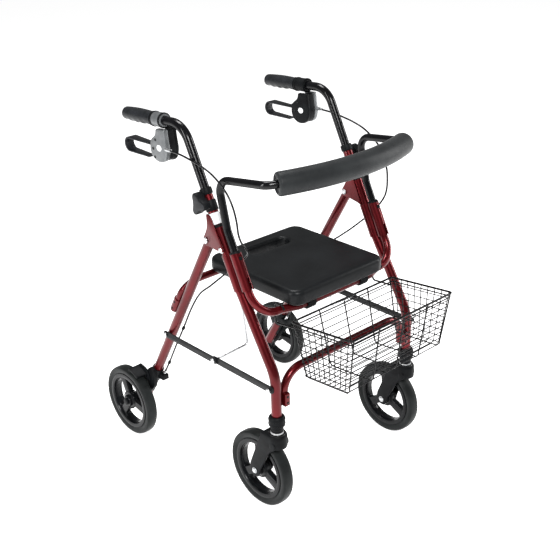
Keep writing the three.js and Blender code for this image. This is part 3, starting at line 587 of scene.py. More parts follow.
def seat_carrier():
    def half(s):
        x = s * SIDE_X
        outer_x, inner_x = CARRIER_STEP_X
        return [carrier_arm(0.612, x), ((x, CARRIER_BEND.y, CARRIER_BEND.z), 0.060),
                ((x, CARRIER_CORNER_Y, HINGE.z), 0.058), ((s * outer_x, CARRIER_CORNER_Y, HINGE.z), 0.030),
                ((s * inner_x, HINGE.y, HINGE.z), 0.030)]

    tube("seat_carrier_tube", [*half(-1), *reversed(half(1))], CARRIER_R, "frame", RED, ["seat_carrier"])


def cross_bar():
    low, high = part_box("cross_bar")
    foot_x = high.x - 0.0174
    bar_z = high.z - CARRIER_R
    feet = [(s * foot_x, STEM.y, low.z + 0.004) for s in (-1, 1)]
    corners = [feet[0], ((-foot_x, STEM.y, bar_z), 0.055), ((foot_x, STEM.y, bar_z), 0.055), feet[1]]
    tube("cross_bar_tube", corners, CARRIER_R, "frame", RED, ["cross_bar"])
    for side, s in SIDES:
        outline = smooth_loop([
            (-0.017, 0.0, 0.003),
            (0.012, 0.0, 0.003),
            (0.012, 0.034, 0.003),
            (-0.017, 0.034, 0.003),
        ])
        place_at = side_plane(s * 0.2115) @ Matrix.Translation((STEM.y, low.z, 0))
        pressed(f"cross_bar_bracket_{side}", [outline], 0.015, 0.001, place_at, "frame", RED)
        for k, z in enumerate((low.z + 0.009, low.z + 0.025)):
            at = (s * 0.2115, STEM.y - 0.0168, z)
            button_head(f"bracket_rivet_{k}_{side}", at, (0, -1, 0), 0.0032, 0.002, "frame", STEEL)


def rear_arch():
    cross_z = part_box("rear_arch")[1].z - BACK_R
    corners = [arch_at(0.430, -SIDE_X), (arch_at(cross_z, -SIDE_X), 0.046), (arch_at(cross_z, SIDE_X), 0.046),
               arch_at(0.430, SIDE_X)]
    tube("rear_arch_tube", corners, BACK_R, "rear_frame", RED, ["rear_arch"])
    for side, s in SIDES:
        tube(f"rear_arch_sleeve_{side}", [arch_at(0.424, s * SIDE_X), arch_at(0.462, s * SIDE_X)], 0.0122,
             "rear_frame", RED)
        across = Vector((s, 0, 0))
        for k, z in enumerate((0.433, 0.453)):
            at = arch_at(z, s * SIDE_X) + across * 0.0119
            button_head(f"arch_rivet_{k}_{side}", at, across, 0.003, 0.0015, "rear_frame", STEEL)


def backrest_socket(side, s):
    x = s * SIDE_X
    sleeve = [carrier_arm(0.597, x), carrier_arm(0.653, x)]
    tube(f"backrest_socket_tube_{side}", sleeve, 0.0126, "frame", RED, [f"backrest_socket_{side}"])
    out = Vector((0, -HANDLE_UP.z, HANDLE_UP.y))
    button_head(f"socket_button_{side}", carrier_arm(0.640, x) + out * 0.0122, out, 0.0045, 0.0045, "frame",
                PLASTIC)
    collar_at = carrier_arm(0.651, x)
    profile = [(0.0098, 0), (0.0135, 0), (0.0135, 0.004), (0.0125, 0.0065), (0.0098, 0.0065)]
    turned(f"socket_collar_{side}", profile, collar_at, HANDLE_UP, "frame", PLASTIC)


def side_hardware(side, s):
    """Gusset and saddle plates, brace bars, the wheel bracket and brake arm, and their fasteners."""
    refined(f"side_plate_outer_{side}", RED, 0.0007)
    inner_leaf(side, s)
    saddle_plate(f"saddle_pressing_{side}", s, 1, [f"saddle_plate_{side}"])
    saddle_plate(f"saddle_pressing_inner_{side}", s, -1)
    refined(f"fold_bolt_{side}", ZINC, 0.0008)
    across = Vector((s, 0, 0))
    face = s * (SIDE_X + 0.0040)
    bolt_at = upper_leg(0.655, s * 0.2457)
    button_head(f"leg_bolt_{side}", bolt_at, across, 0.0065, 0.005, "frame", hexagon=True)
    for k, z in enumerate((0.624, 0.584)):
        at = beside_leg(z, CARRIER_AHEAD * HANDLE_UP.z / 2, face)
        button_head(f"saddle_rivet_{k}_{side}", at, across, 0.004, 0.002, "frame")
    refined(f"wheel_bracket_{side}", PLASTIC, 0.0012)
    refined(f"brake_arm_{side}", PLASTIC, 0.0006)
    for bar in ("brace_front", "brace_rear"):
        refined(f"{bar}_{side}", STEEL, 0.0005)
    for name, at, body in (("front", BRACE_FRONT, f"front_brace_{side}"),
                           ("rear", BRACE_REAR, f"rear_brace_{side}")):
        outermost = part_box(f"brace_{name}_{side}")[1 if s > 0 else 0]
        button_head(f"brace_bolt_{name}_{side}", (outermost.x, at.y, at.z), across, 0.0064, 0.0030, body)
    button_head(f"brace_bolt_middle_{side}", (s * 0.256, BRACE_MIDDLE.y, BRACE_MIDDLE.z), across, 0.0064,
                0.0030, f"rear_brace_{side}")


def beside_leg(z, ahead, x):
    """A point beside the upper leg, moved forward at right angles to it."""
    return upper_leg(z, x) + Vector((0, -HANDLE_UP.z, HANDLE_UP.y)) * ahead


def inner_leaf(side, s):
    """Leaf-shaped gusset on the inboard side of the leg and the fold pivot."""
    corners = [beside_leg(0.729, 0.004, 0), beside_leg(0.737, -0.008, 0)]
    corners = [(p.y, p.z, 0.006) for p in corners]
    corners += [(PIVOT.y - 0.008, PIVOT.z + 0.034, 0.020), (PIVOT.y + 0.011, PIVOT.z + 0.002, 0.010),
                (PIVOT.y + 0.006, PIVOT.z - 0.013, 0.008), (PIVOT.y - 0.010, PIVOT.z - 0.012, 0.008)]
    corners += [(p.y, p.z, 0.006) for p in (beside_leg(0.652, -0.011, 0), beside_leg(0.640, 0.002, 0))]
    pressed(f"gusset_leaf_{side}", [smooth_loop(corners)], 0.003, 0.0006, side_plane(s * (SIDE_X - 0.0147)),
            "frame", RED, [f"side_plate_inner_{side}"])


def saddle_plate(name, s, facing, stands_for=()):
    """Pressed plate that wraps the leg and the carrier's sleeve, with a flat web between them."""
    sleeve_ahead = CARRIER_AHEAD * HANDLE_UP.z
    wrap_r = 0.0144
    overhang = 0.0132
    flat = 0.0040
    sheet = 0.0012
    rows = 24
    columns = 48
    vertices = []
    for layer in (0.0, -sheet):
        for i in range(rows + 1):
            for k in range(columns + 1):
                ahead = -overhang + (sleeve_ahead + 2 * overhang) * k / columns
                out = flat
                for centre, radius in ((0.0, wrap_r), (sleeve_ahead, wrap_r - 0.0002)):
                    away = abs(ahead - centre)
                    if away < radius:
                        out = max(out, math.sqrt(radius ** 2 - away ** 2))
                t = k / columns
                top = 0.643 - 0.004 * t
                low = 0.564 - 0.006 * t
                z = low + (top - low) * i / rows
                vertices.append(beside_leg(z, ahead, s * (SIDE_X + facing * (out + layer))))
    count = (rows + 1) * (columns + 1)
    faces = []
    for i in range(rows):
        for k in range(columns):
            a = i * (columns + 1) + k
            quad = [a, a + 1, a + columns + 2, a + columns + 1]
            faces.append(quad)
            faces.append([v + count for v in reversed(quad)])
    rim = list(range(columns + 1))
    rim += [(i + 1) * (columns + 1) + columns for i in range(rows)]
    rim += [rows * (columns + 1) + k for k in reversed(range(columns))]
    rim += [i * (columns + 1) for i in reversed(range(1, rows))]
    for a, b in zip(rim, rim[1:] + rim[:1]):
        faces.append([a, b, b + count, a + count])
    place(name, mesh_of(name, vertices, faces), "frame", RED, stands_for, 40)


def lift_rod(side, s):
    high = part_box(f"lift_rod_{side}")[1]
    rod_z = BRACE_MIDDLE.z
    turn_x = s * 0.150
    lug = Vector((0, high.y - ROD_R, high.z - ROD_R))
    corners = [
        (s * 0.2492, BRACE_MIDDLE.y, rod_z),
        ((s * 0.236, BRACE_MIDDLE.y, rod_z), 0.008),
        ((turn_x, BRACE_MIDDLE.y - 0.011, rod_z + 0.011), 0.012),
        ((turn_x, lug.y, lug.z), 0.006),
        (s * 0.128, lug.y, lug.z),
    ]
    tube(f"lift_rod_wire_{side}", corners, ROD_R + 0.0002, f"lift_rod_{side}", ZINC, [f"lift_rod_{side}"], 14)


def leg_collar(side, s):
    """Ring on top of the leg, clamp band, a painted reflection band over a painted shadow band, tongue, and the
    knob's boss.
    """
    top = upper_leg(LEG_TOP_Z, s * SIDE_X)
    ring_profile = [(0.0116, 0.0004), (0.0138, 0.0004), (0.0147, 0.0025), (0.0149, 0.004), (0.0149, 0.0135),
                    (0.0146, 0.015), (0.0136, 0.0162), (0.0122, 0.0165), (0.0116, 0.0160), (0.0116, 0.0004)]
    turned(f"leg_collar_ring_{side}", ring_profile, top, HANDLE_UP, "frame", PLASTIC, [f"leg_collar_{side}"])
    band = [(0.0128, -0.0135), (0.0143, -0.0135), (0.0149, -0.0150), (0.0149, -0.0375), (0.0143, -0.039),
            (0.0128, -0.039)]
    turned(f"leg_collar_band_{side}", band, top, HANDLE_UP, "frame", PLASTIC)
    # Painted reflection: a white band round the red leg below the clamp band.
    label = [(0.0128, -0.0440), (0.01305, -0.0442), (0.01305, -0.0705), (0.0128, -0.0707)]
    turned(f"leg_label_{side}", label, top, HANDLE_UP, "frame", WHITE_BADGE_AND_REFLECTION)
    # Painted shadow: a black band round the leg just below the white band.
    edge = [(0.0128, -0.0715), (0.0132, -0.0718), (0.0132, -0.0785), (0.0128, -0.0788)]
    turned(f"leg_painted_shadow_band_{side}", edge, top, HANDLE_UP, "frame", PLASTIC)
    hub = Vector((s * SIDE_X, KNOB.y, KNOB.z))
    boss = [(0, 0.0125), (0.0122, 0.0125), (0.0122, 0.0160), (0.0112, 0.0170), (0, 0.0170)]
    turned(f"knob_boss_{side}", boss, hub, (s, 0, 0), "frame", PLASTIC, segments=40)
    tongue = smooth_loop([(-0.0065, -0.020, 0.002), (0.0065, -0.020, 0.002), (0.0065, 0.008, 0.003),
                          (-0.0065, 0.008, 0.003)])
    lean = Matrix.Rotation(-math.atan2(HANDLE_UP.y, HANDLE_UP.z), 4, "Z")
    at = side_plane(s * (SIDE_X + 0.0140)) @ Matrix.Translation((top.y, top.z, 0)) @ lean
    pressed(f"leg_collar_tongue_{side}", [tongue], 0.004, 0.0008, at, "frame", PLASTIC)


def height_knob(side, s):
    """Three-lobed knob with hollow sides and a grey face."""
    hub = Vector((s * SIDE_X, KNOB.y, KNOB.z))
    body = f"height_knob_{side}"

    def lobes(valley, tip):
        loop = []
        for k in range(96):
            angle = 2 * math.pi * k / 96
            reach = valley + (tip - valley) * (0.5 + 0.5 * math.cos(3 * angle)) ** 1.5
            loop.append((-reach * math.cos(angle), reach * math.sin(angle)))
        return loop

    low, high = KNOB_DEPTH
    at = side_plane(hub.x + s * (low + high) / 2) @ Matrix.Translation((hub.y, hub.z, 0))
    pressed(f"knob_body_{side}", [lobes(0.0170, 0.0288)], high - low - 0.001, 0.0026, at, body, PLASTIC,
            [f"height_knob_{side}"])
    face_at = side_plane(hub.x + s * (high - 0.0006)) @ Matrix.Translation((hub.y, hub.z, 0))
    pressed(f"knob_face_{side}", [lobes(0.0135, 0.0252)], 0.0012, 0.0005, face_at, body, GRIP)


def stem_sleeve(side, s):
    base = Vector((s * SIDE_X, STEM.y, STEM_Z))
    profile = [(0.0130, 0.001), (0.0155, 0.001), (0.0158, 0.002), (0.0158, 0.0145), (0.0175, 0.0165),
               (0.0198, 0.018), (0.0200, 0.020), (0.0200, 0.038), (0.0190, 0.0405), (0.0165, 0.043),
               (0.0130, 0.043), (0.0130, 0.001)]
    turned(f"stem_sleeve_ring_{side}", profile, base, (0, 0, 1), "frame", PLASTIC, [f"stem_sleeve_{side}"])
    for k, z in enumerate((0.0215, 0.0335)):
        band = [(0.0199, 0), (0.0208, 0.0007), (0.0208, 0.0023), (0.0199, 0.003)]
        turned(f"stem_band_{k}_{side}", band, base + Vector((0, 0, z)), (0, 0, 1), "frame", PLASTIC)
    washer = [(0.0085, -0.0030), (0.0160, -0.0030), (0.0160, -0.0006), (0.0085, -0.0006), (0.0085, -0.0030)]
    turned(f"stem_washer_{side}", washer, base, (0, 0, 1), "frame", WHITE_BADGE_AND_REFLECTION)


# ------------------------------------------------------------------ wheels
def window(turn):
    """One opening of the wheel centre, between two straight-sided spokes, with rounded corners."""
    spoke_half = 0.0105
    flare = 0.0020
    loop = []
    for r, half, corner in ((0.0665, spoke_half + flare, 0.012), (0.0235, spoke_half, 0.007)):
        reach = math.radians(60) - math.asin(half / r)
        angles = [reach * (1 - 2 * k / 8) for k in range(9)]
        if r < 0.03:
            angles.reverse()
        loop += [(r * math.cos(turn + a), r * math.sin(turn + a), corner if abs(a) == reach else 0.002)
                 for a in angles]
    return smooth_loop(loop, 4)


def wheel(prefix, side, centre, body, turn):
    """Tyre, deep rim band, three broad spokes, and a ribbed hub."""
    tyre = mirrored([(0.0798, -0.0118), (0.086, -0.0148), (0.0915, -TYRE_HALF), (0.0955, -0.0152),
                     (0.0985, -0.0122), (0.0997, -0.0075)], [(WHEEL_R, 0)])
    turned(f"{prefix}_tyre_band_{side}", tyre, centre, (1, 0, 0), body, TYRE, [f"{prefix}_tyre_{side}"], 120)
    band = mirrored([(0.0675, -0.0105), (0.0690, -0.0135), (0.0735, -0.0148), (0.0796, -0.0138)])
    turned(f"{prefix}_rim_band_{side}", band, centre, (1, 0, 0), body, RIM, [f"{prefix}_rim_{side}"], 120)
    outer = ring(0.0690, 120)
    windows = [window(turn + 2 * math.pi * k / 3) for k in range(3)]
    at = side_plane(centre.x) @ Matrix.Translation((centre.y, centre.z, 0))
    pressed(f"{prefix}_spokes_{side}", [outer, *windows], 0.016, 0.0025, at, body, RIM)
    hub = mirrored([(0.0062, -HUB_HALF), (0.0135, -HUB_HALF), (0.0150, -0.0160), (0.0165, -0.0090),
                    (0.0195, -0.0075)])
    turned(f"{prefix}_hub_{side}", hub, centre, (1, 0, 0), body, RIM)
    rib = [(0.0225, 0.0078), (0.0235, 0.0092), (0.0250, 0.0092), (0.0260, 0.0078)]
    for k, flip in enumerate((-1, 1)):
        ribs = [(r, a * flip) for r, a in rib]
        turned(f"{prefix}_hub_rib_{k}_{side}", ribs, centre, (1, 0, 0), body, PLASTIC)


def caster_fork(side, s):
    """Swivel fork: rounded crown with a front skirt, two tapered arms, axle bolt, stem and bearing."""
    body = f"caster_{side}"
    x = s * SIDE_X
    axle = Vector((x, CASTER_AXLE.y, CASTER_AXLE.z))
    crown_r = 0.0245
    rear_y = STEM.y + 0.034
    levels = [(0.0075, 0.2275), (0.0035, 0.2265), (0.0012, 0.2240), (0.0002, 0.2205), (0.0, 0.2150),
              (0.0, 0.2050)]
    loops = []
    for inset, z in levels:
        r = crown_r - inset
        front = [(x + r * math.cos(a), STEM.y + r * math.sin(a)) for a in
                 (math.pi + math.pi * k / 24 for k in range(25))]
        rear = [(x + r, rear_y - inset), (x - r, rear_y - inset)]
        loops.append([Vector((u, v, z)) for u, v in (*front, *rear)])
    vertices = [p for row in loops for p in row]
    faces = skin(len(loops), len(loops[0])) + caps(len(loops), len(loops[0]))
    name = f"fork_crown_{side}"
    place(name, mesh_of(name, vertices, faces), body, PLASTIC, [f"caster_fork_{side}"])
    skirt = [(0.0195, 0.2055), (crown_r, 0.2055), (crown_r, 0.1935), (0.0238, 0.1915), (0.0222, 0.1905),
             (0.0205, 0.1912), (0.0195, 0.1930), (0.0195, 0.2055)]
    vertices, faces = lathe(skirt, (x, STEM.y, 0), (0, 0, 1), 48)
    kept = [f for f in faces if all(vertices[i].y < STEM.y + 0.004 for i in f)]
    name = f"fork_skirt_{side}"
    place(name, mesh_of(name, vertices, kept), body, PLASTIC)
    outline = smooth_loop([
        (STEM.y - 0.014, 0.2060, 0.002),
        (STEM.y - 0.015, 0.1930, 0.008),
        (STEM.y + 0.004, 0.1790, 0.030),
        (axle.y - 0.0175, axle.z + 0.006, 0.016),
        (axle.y - 0.0135, axle.z - 0.0160, 0.014),
        (axle.y + 0.0135, axle.z - 0.0160, 0.014),
        (axle.y + 0.0190, axle.z + 0.010, 0.016),
        (rear_y + 0.010, 0.1960, 0.030),
        (rear_y - 0.002, 0.2200, 0.006),
        (STEM.y + 0.010, 0.2200, 0.004),
    ], 8)
    for label, e in (("outer", s), ("inner", -s)):
        pressed(f"fork_arm_{label}_{side}", [outline], 0.0048, 0.0016, side_plane(x + e * 0.0218), body,
                PLASTIC)
        head_at = axle + Vector((e * 0.0242, 0, 0))
        button_head(f"caster_axle_head_{label}_{side}", head_at, (e, 0, 0), 0.0062, 0.0034, body,
                    hexagon=True)
    bolt = [(0, -0.024), (0.0048, -0.024), (0.0048, 0.024), (0, 0.024)]
    turned(f"caster_axle_bolt_{side}", bolt, axle, (1, 0, 0), body, ZINC, segments=32)
    stem = [(0, 0.2270), (0.0205, 0.2270), (0.0205, 0.2284), (0.0192, 0.2296), (0.0165, 0.2296),
            (0.0160, 0.2290), (0.0132, 0.2292), (0, 0.2292)]
    turned(f"fork_bearing_{side}", stem, (x, STEM.y, 0), (0, 0, 1), body, BLACK)
    post = [(0, 0.2310), (0.0080, 0.2310), (0.0080, 0.2640), (0, 0.2640)]
    turned(f"fork_stem_{side}", post, (x, STEM.y, 0), (0, 0, 1), body, ZINC, segments=32)


def rear_axle_cap(side, s):
    at = Vector((s * 0.3008, REAR_AXLE.y, REAR_AXLE.z))
    button_head(f"rear_axle_cap_{side}", at, (s, 0, 0), 0.0078, 0.0012, "rear_frame", PLASTIC)


# ------------------------------------------------------------------ handles and brakes
def handle_tube(side, s):
    x = s * SIDE_X
    low = upper_leg(LEG_TOP_Z, x) - HANDLE_UP * 0.090
    corners = [low, (upper_leg(HANDLE_CORNER_Z, x), 0.060), grip_axis(GRIP_END, x)]
    tube(f"handle_tube_bent_{side}", corners, HANDLE_R, f"handle_{side}", BLACK, [f"handle_tube_{side}"])


def hand_grip(side, s):
    """Moulded grip: round section that swells to the palm, with four finger hollows below."""
    x = s * SIDE_X
    length = 0.116
    past_tube = 0.006
    start = GRIP_END + past_tube - length
    rows = 72
    sides = 40
    direction = Vector((0, math.cos(GRIP_DROP), -math.sin(GRIP_DROP)))
    up = Vector((0, math.sin(GRIP_DROP), math.cos(GRIP_DROP)))
    vertices = []
    for i in range(rows + 1):
        t = i / rows
        centre = grip_axis(start, x) + direction * (length * t)
        palm = 0.0152 + 0.0024 * math.sin(math.pi * min(1, t * 1.05)) ** 0.8
        if t < 0.05:
            palm = 0.0172
        closing = max(0.0, (t - 0.955) / 0.045)
        palm *= math.sqrt(max(0.0, 1 - closing ** 2 * 0.55))
        fingers = 0.0016 * (0.5 - 0.5 * math.cos(2 * math.pi * (t - 0.1) / 0.21)) if 0.1 < t < 0.94 else 0
        for k in range(sides):
            a = 2 * math.pi * k / sides
            below = max(0.0, -math.sin(a)) ** 1.2
            r = palm - fingers * below
            vertices.append(centre + Vector((1, 0, 0)) * (r * math.cos(a)) + up * (r * math.sin(a)))
    faces = skin(rows + 1, sides) + caps(rows + 1, sides)
    name = f"hand_grip_moulding_{side}"
    place(name, mesh_of(name, vertices, faces), f"handle_{side}", GRIP, [f"hand_grip_{side}"])


def brake_housing(side, s):
    """Two moulded shells and a core below a clamp ring with two bands, with screws and blank badges."""
    body = f"handle_{side}"
    y = LEVER_PIN.y
    outline = smooth_loop([
        (y - 0.039, 0.902, 0.004),
        (y - 0.006, 0.900, 0.005),
        (y - 0.003, 0.884, 0.008),
        (y + 0.018, 0.869, 0.010),
        (y + 0.021, 0.846, 0.010),
        (y + 0.014, 0.829, 0.010),
        (y - 0.006, 0.8185, 0.012),
        (y - 0.036, 0.823, 0.018),
        (y - 0.047, 0.850, 0.014),
        (y - 0.041, 0.880, 0.010),
    ])
    # Painted highlight and shade: the outboard shells are silver and the inboard shells black, so the near unit
    # shows a silver face and the far unit a black one.
    shells = (("outer", s, SILVER, 0.0132, 0.0108), ("inner", -s, PLASTIC, 0.0100, 0.0158))
    for label, facing, material, depth, middle in shells:
        at = side_plane(s * SIDE_X + facing * middle)
        stands_for = [f"brake_housing_{side}"] if label == "outer" else ()
        pressed(f"brake_shell_{label}_{side}", [outline], depth, 0.0028, at, body, material, stands_for)
    front = smooth_loop([
        (y - 0.0385, 0.900, 0.004),
        (y - 0.022, 0.900, 0.003),
        (y - 0.018, 0.850, 0.008),
        (y - 0.008, 0.824, 0.006),
        (y - 0.008, 0.8200, 0.004),
        (y - 0.0355, 0.8245, 0.016),
        (y - 0.0462, 0.850, 0.014),
        (y - 0.0405, 0.880, 0.010),
    ])
    pressed(f"brake_core_{side}", [front], 0.022, 0.0008, side_plane(s * SIDE_X - s * 0.003), body, PLASTIC)
    direction = Vector((0, math.cos(GRIP_DROP), -math.sin(GRIP_DROP)))
    clamp = [(0.0114, 0), (0.0150, 0), (0.0170, 0.003), (0.0175, 0.006), (0.0175, 0.034), (0.0168, 0.0375),
             (0.0156, 0.040), (0.0114, 0.040), (0.0114, 0)]
    ring_at = grip_axis(0.070, s * SIDE_X)
    # Painted highlight: the near (right) clamp ring is silver, and the far one is black as painted shade.
    turned(f"clamp_ring_{side}", clamp, ring_at, direction, body, SILVER if s < 0 else PLASTIC)
    cap = [(0.0172, 0), (0.0186, 0.0008), (0.0186, 0.0052), (0.0172, 0.006)]
    turned(f"clamp_band_{side}", cap, ring_at + direction * 0.0005, direction, body, PLASTIC)
    turned(f"clamp_band_rear_{side}", cap, ring_at + direction * 0.0335, direction, body, PLASTIC)
    housing_details(side, s, body, y)


def housing_details(side, s, body, y):
    """Blank badge and three screws on each shell, and the cable's ferrule in front."""
    for tag, facing, proud in (("outer", s, 0.0173), ("inner", -s, 0.0207)):
        face_x = s * SIDE_X + facing * proud
        oval = ring(0.0092, 40, 0.0074 / 0.0092)
        at = side_plane(face_x + facing * 0.0004) @ Matrix.Translation((y - 0.017, 0.855, 0))
        pressed(f"badge_{tag}_{side}", [oval], 0.0012, 0.0003, at, body, WHITE_BADGE_AND_REFLECTION)
        for k, (dy, z) in enumerate(((-0.004, 0.873), (0.007, 0.850), (0.002, 0.830))):
            hole = [(0, 0.0003), (0.0019, 0.0003), (0.0026, 0.0007), (0.0034, 0.0007), (0.0036, 0)]
            turned(f"shell_screw_{k}_{tag}_{side}", hole, (face_x, y + dy, z), (facing, 0, 0), body,
                   STEEL, segments=24)
    exit_at = Vector((s * CABLE_EXIT.x, y + CABLE_EXIT.y, CABLE_EXIT.z))
    ferrule = [(0, 0), (0.0044, 0), (0.0044, 0.010), (0.0036, 0.0135), (0.0036, 0.0188), (0, 0.0188)]
    turned(f"cable_ferrule_{side}", ferrule, exit_at, (0, -1, 0), body, ZINC, segments=24)


def brake_lever(side, s):
    """Wide strap bent to a loop, with the tongue on the lever pin."""
    body = f"brake_lever_{side}"
    y = LEVER_PIN.y
    x = s * SIDE_X
    path = bent([
        (x, y + 0.029, 0.8535),
        ((x, y + 0.1325, 0.8535), 0.0162),
        ((x, y + 0.1325, 0.8207), 0.0162),
        (x, y + 0.041, 0.8207),
    ], 12)
    half = 0.0130
    section = smooth_loop([(-half, -0.0023, 0.0020), (half, -0.0023, 0.0020), (half, 0.0023, 0.0020),
                           (-half, 0.0023, 0.0020)], 3)
    line = []
    for a, b in zip(path, path[1:]):
        line += [a.lerp(b, k / 6) for k in range(6)] if (b - a).length > 0.02 else [a]
    line.append(path[-1])
    vertices, faces = swept(line, section)
    for v in vertices:
        reach = min(1.0, max(0.0, (v.y - y - 0.030) / 0.085))
        v.x = x + (v.x - x) * (0.62 + 0.38 * reach)
    name = f"lever_loop_{side}"
    place(name, mesh_of(name, vertices, faces), body, GRIP, [f"brake_lever_{side}"])
    tongue = smooth_loop([
        (y - 0.0085, 0.8635, 0.007),
        (y + 0.008, 0.8560, 0.006),
        (y + 0.046, 0.8515, 0.002),
        (y + 0.046, 0.8550, 0.002),
        (y + 0.014, 0.8740, 0.012),
        (y - 0.0085, 0.8805, 0.007),
    ])
    pressed(f"lever_tongue_{side}", [tongue], 0.010, 0.0012, side_plane(x), body, GRIP)


def brake_cable(side, s):
    """A cable in two stretches: one from the handle to the frame, one from the frame to the rear leg."""
    inboard_pass = [
        (0.242, -0.189, 0.692),
        (0.228, -0.186, 0.672),
        (0.214, -0.178, 0.654),
        (0.208, -0.162, 0.636),
        (0.208, -0.136, 0.614),
        (0.210, -0.108, 0.590),
        (0.216, -0.076, 0.561),
        (0.223, -0.042, 0.530),
    ]
    outboard_pass = [
        (0.251, -0.186, 0.692),
        (0.253, -0.178, 0.670),
        (0.253, -0.164, 0.648),
        (0.253, -0.146, 0.626),
        (0.252, -0.124, 0.603),
        (0.248, -0.098, 0.579),
        (0.241, -0.070, 0.553),
        (0.233, -0.038, 0.526),
    ]
    upper = [
        (0.250, 0.043, 0.8575),
        (0.250, 0.004, 0.856),
        (0.250, -0.035, 0.851),
        (0.250, -0.070, 0.845),
        (0.250, -0.104, 0.835),
        (0.250, -0.135, 0.818),
        (0.250, -0.161, 0.796),
        (0.250, -0.177, 0.770),
        (0.250, -0.186, 0.742),
        (0.249, -0.189, 0.714),
    ]
    lower = [
        (0.228, -0.005, 0.498),
        (0.228, 0.034, 0.444),
        (0.227, 0.074, 0.375),
        (0.227, 0.114, 0.307),
        (0.226, 0.151, 0.243),
        (0.226, 0.178, 0.199),
    ]
    route = [*upper, *(inboard_pass if s < 0 else outboard_pass), *lower]
    route = [Vector((s * x, y + MIDDLE_Y, z)) for x, y, z in route]
    steps = 6
    points = through(route, steps)
    split = (len(upper) + 1) * steps
    straight = route[-len(lower)]
    for part, stretch, until, bodies in (
        ("upper", points[:split + 1], points[split], (f"handle_{side}", "frame")),
        ("lower", points[split:], straight, ("frame", "rear_frame")),
    ):
        vertices, faces = swept(stretch, ring(CABLE_R, 12))
        piece = cable_part(f"brake_cable_{part}_{side}", mesh_of("cable", vertices, faces))
        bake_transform(piece)
        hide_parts(f"brake_cable_{side}")
    for k, i in enumerate((-4, -2)):
        run = Vector((0, math.sin(REAR_LEAN), -math.cos(REAR_LEAN)))
        clip = [(CABLE_R, -0.004), (CABLE_R + 0.0018, -0.004), (CABLE_R + 0.0018, 0.004), (CABLE_R, 0.004)]
        turned(f"cable_clip_{k}_{side}", clip, route[i], run, "rear_frame", PLASTIC, segments=24)
    adjuster = [(CABLE_R, 0), (0.0042, 0), (0.0042, 0.004), (0.0034, 0.0045), (0.0034, 0.014),
                (CABLE_R, 0.014)]
    turned(f"cable_adjuster_{side}", adjuster, route[-1], route[-2] - route[-1], "rear_frame", ZINC,
           segments=24)


def cable_part(name, mesh):
    """A stretch of cable with no body of its own."""
    mesh.materials.append(BLACK)
    for polygon in mesh.polygons:
        polygon.use_smooth = True
    made = bpy.data.objects.new(name, mesh)
    bpy.context.scene.collection.objects.link(made)
    return made


def through(points, steps):
    """A smooth line through every point (Catmull-Rom)."""
    padded = [points[0] * 2 - points[1], *points, points[-1] * 2 - points[-2]]
    line = []
    for i in range(1, len(padded) - 2):
        a, b, c, d = padded[i - 1:i + 3]
        for k in range(steps):
            t = k / steps
            line.append(0.5 * ((2 * b) + (c - a) * t + (2 * a - 5 * b + 4 * c - d) * t ** 2
                               + (3 * b - a - 3 * c + d) * t ** 3))
    line.append(points[-1])
    return line


# ------------------------------------------------------------------ seat
def rounded_rectangle(half_x, low_y, high_y, radius):
    """Points round a rectangle with circular corners, the same number for every size."""
    steps = 24
    loop = []
    corners = ((half_x, high_y, 0), (-half_x, high_y, 1), (-half_x, low_y, 2), (half_x, low_y, 3))
    for cx, cy, quarter in corners:
        centre = (cx - math.copysign(radius, cx), cy - radius if quarter < 2 else cy + radius)
        for k in range(steps + 1):
            a = math.pi / 2 * (quarter + k / steps)
            loop.append((centre[0] + radius * math.cos(a), centre[1] + radius * math.sin(a)))
    return loop


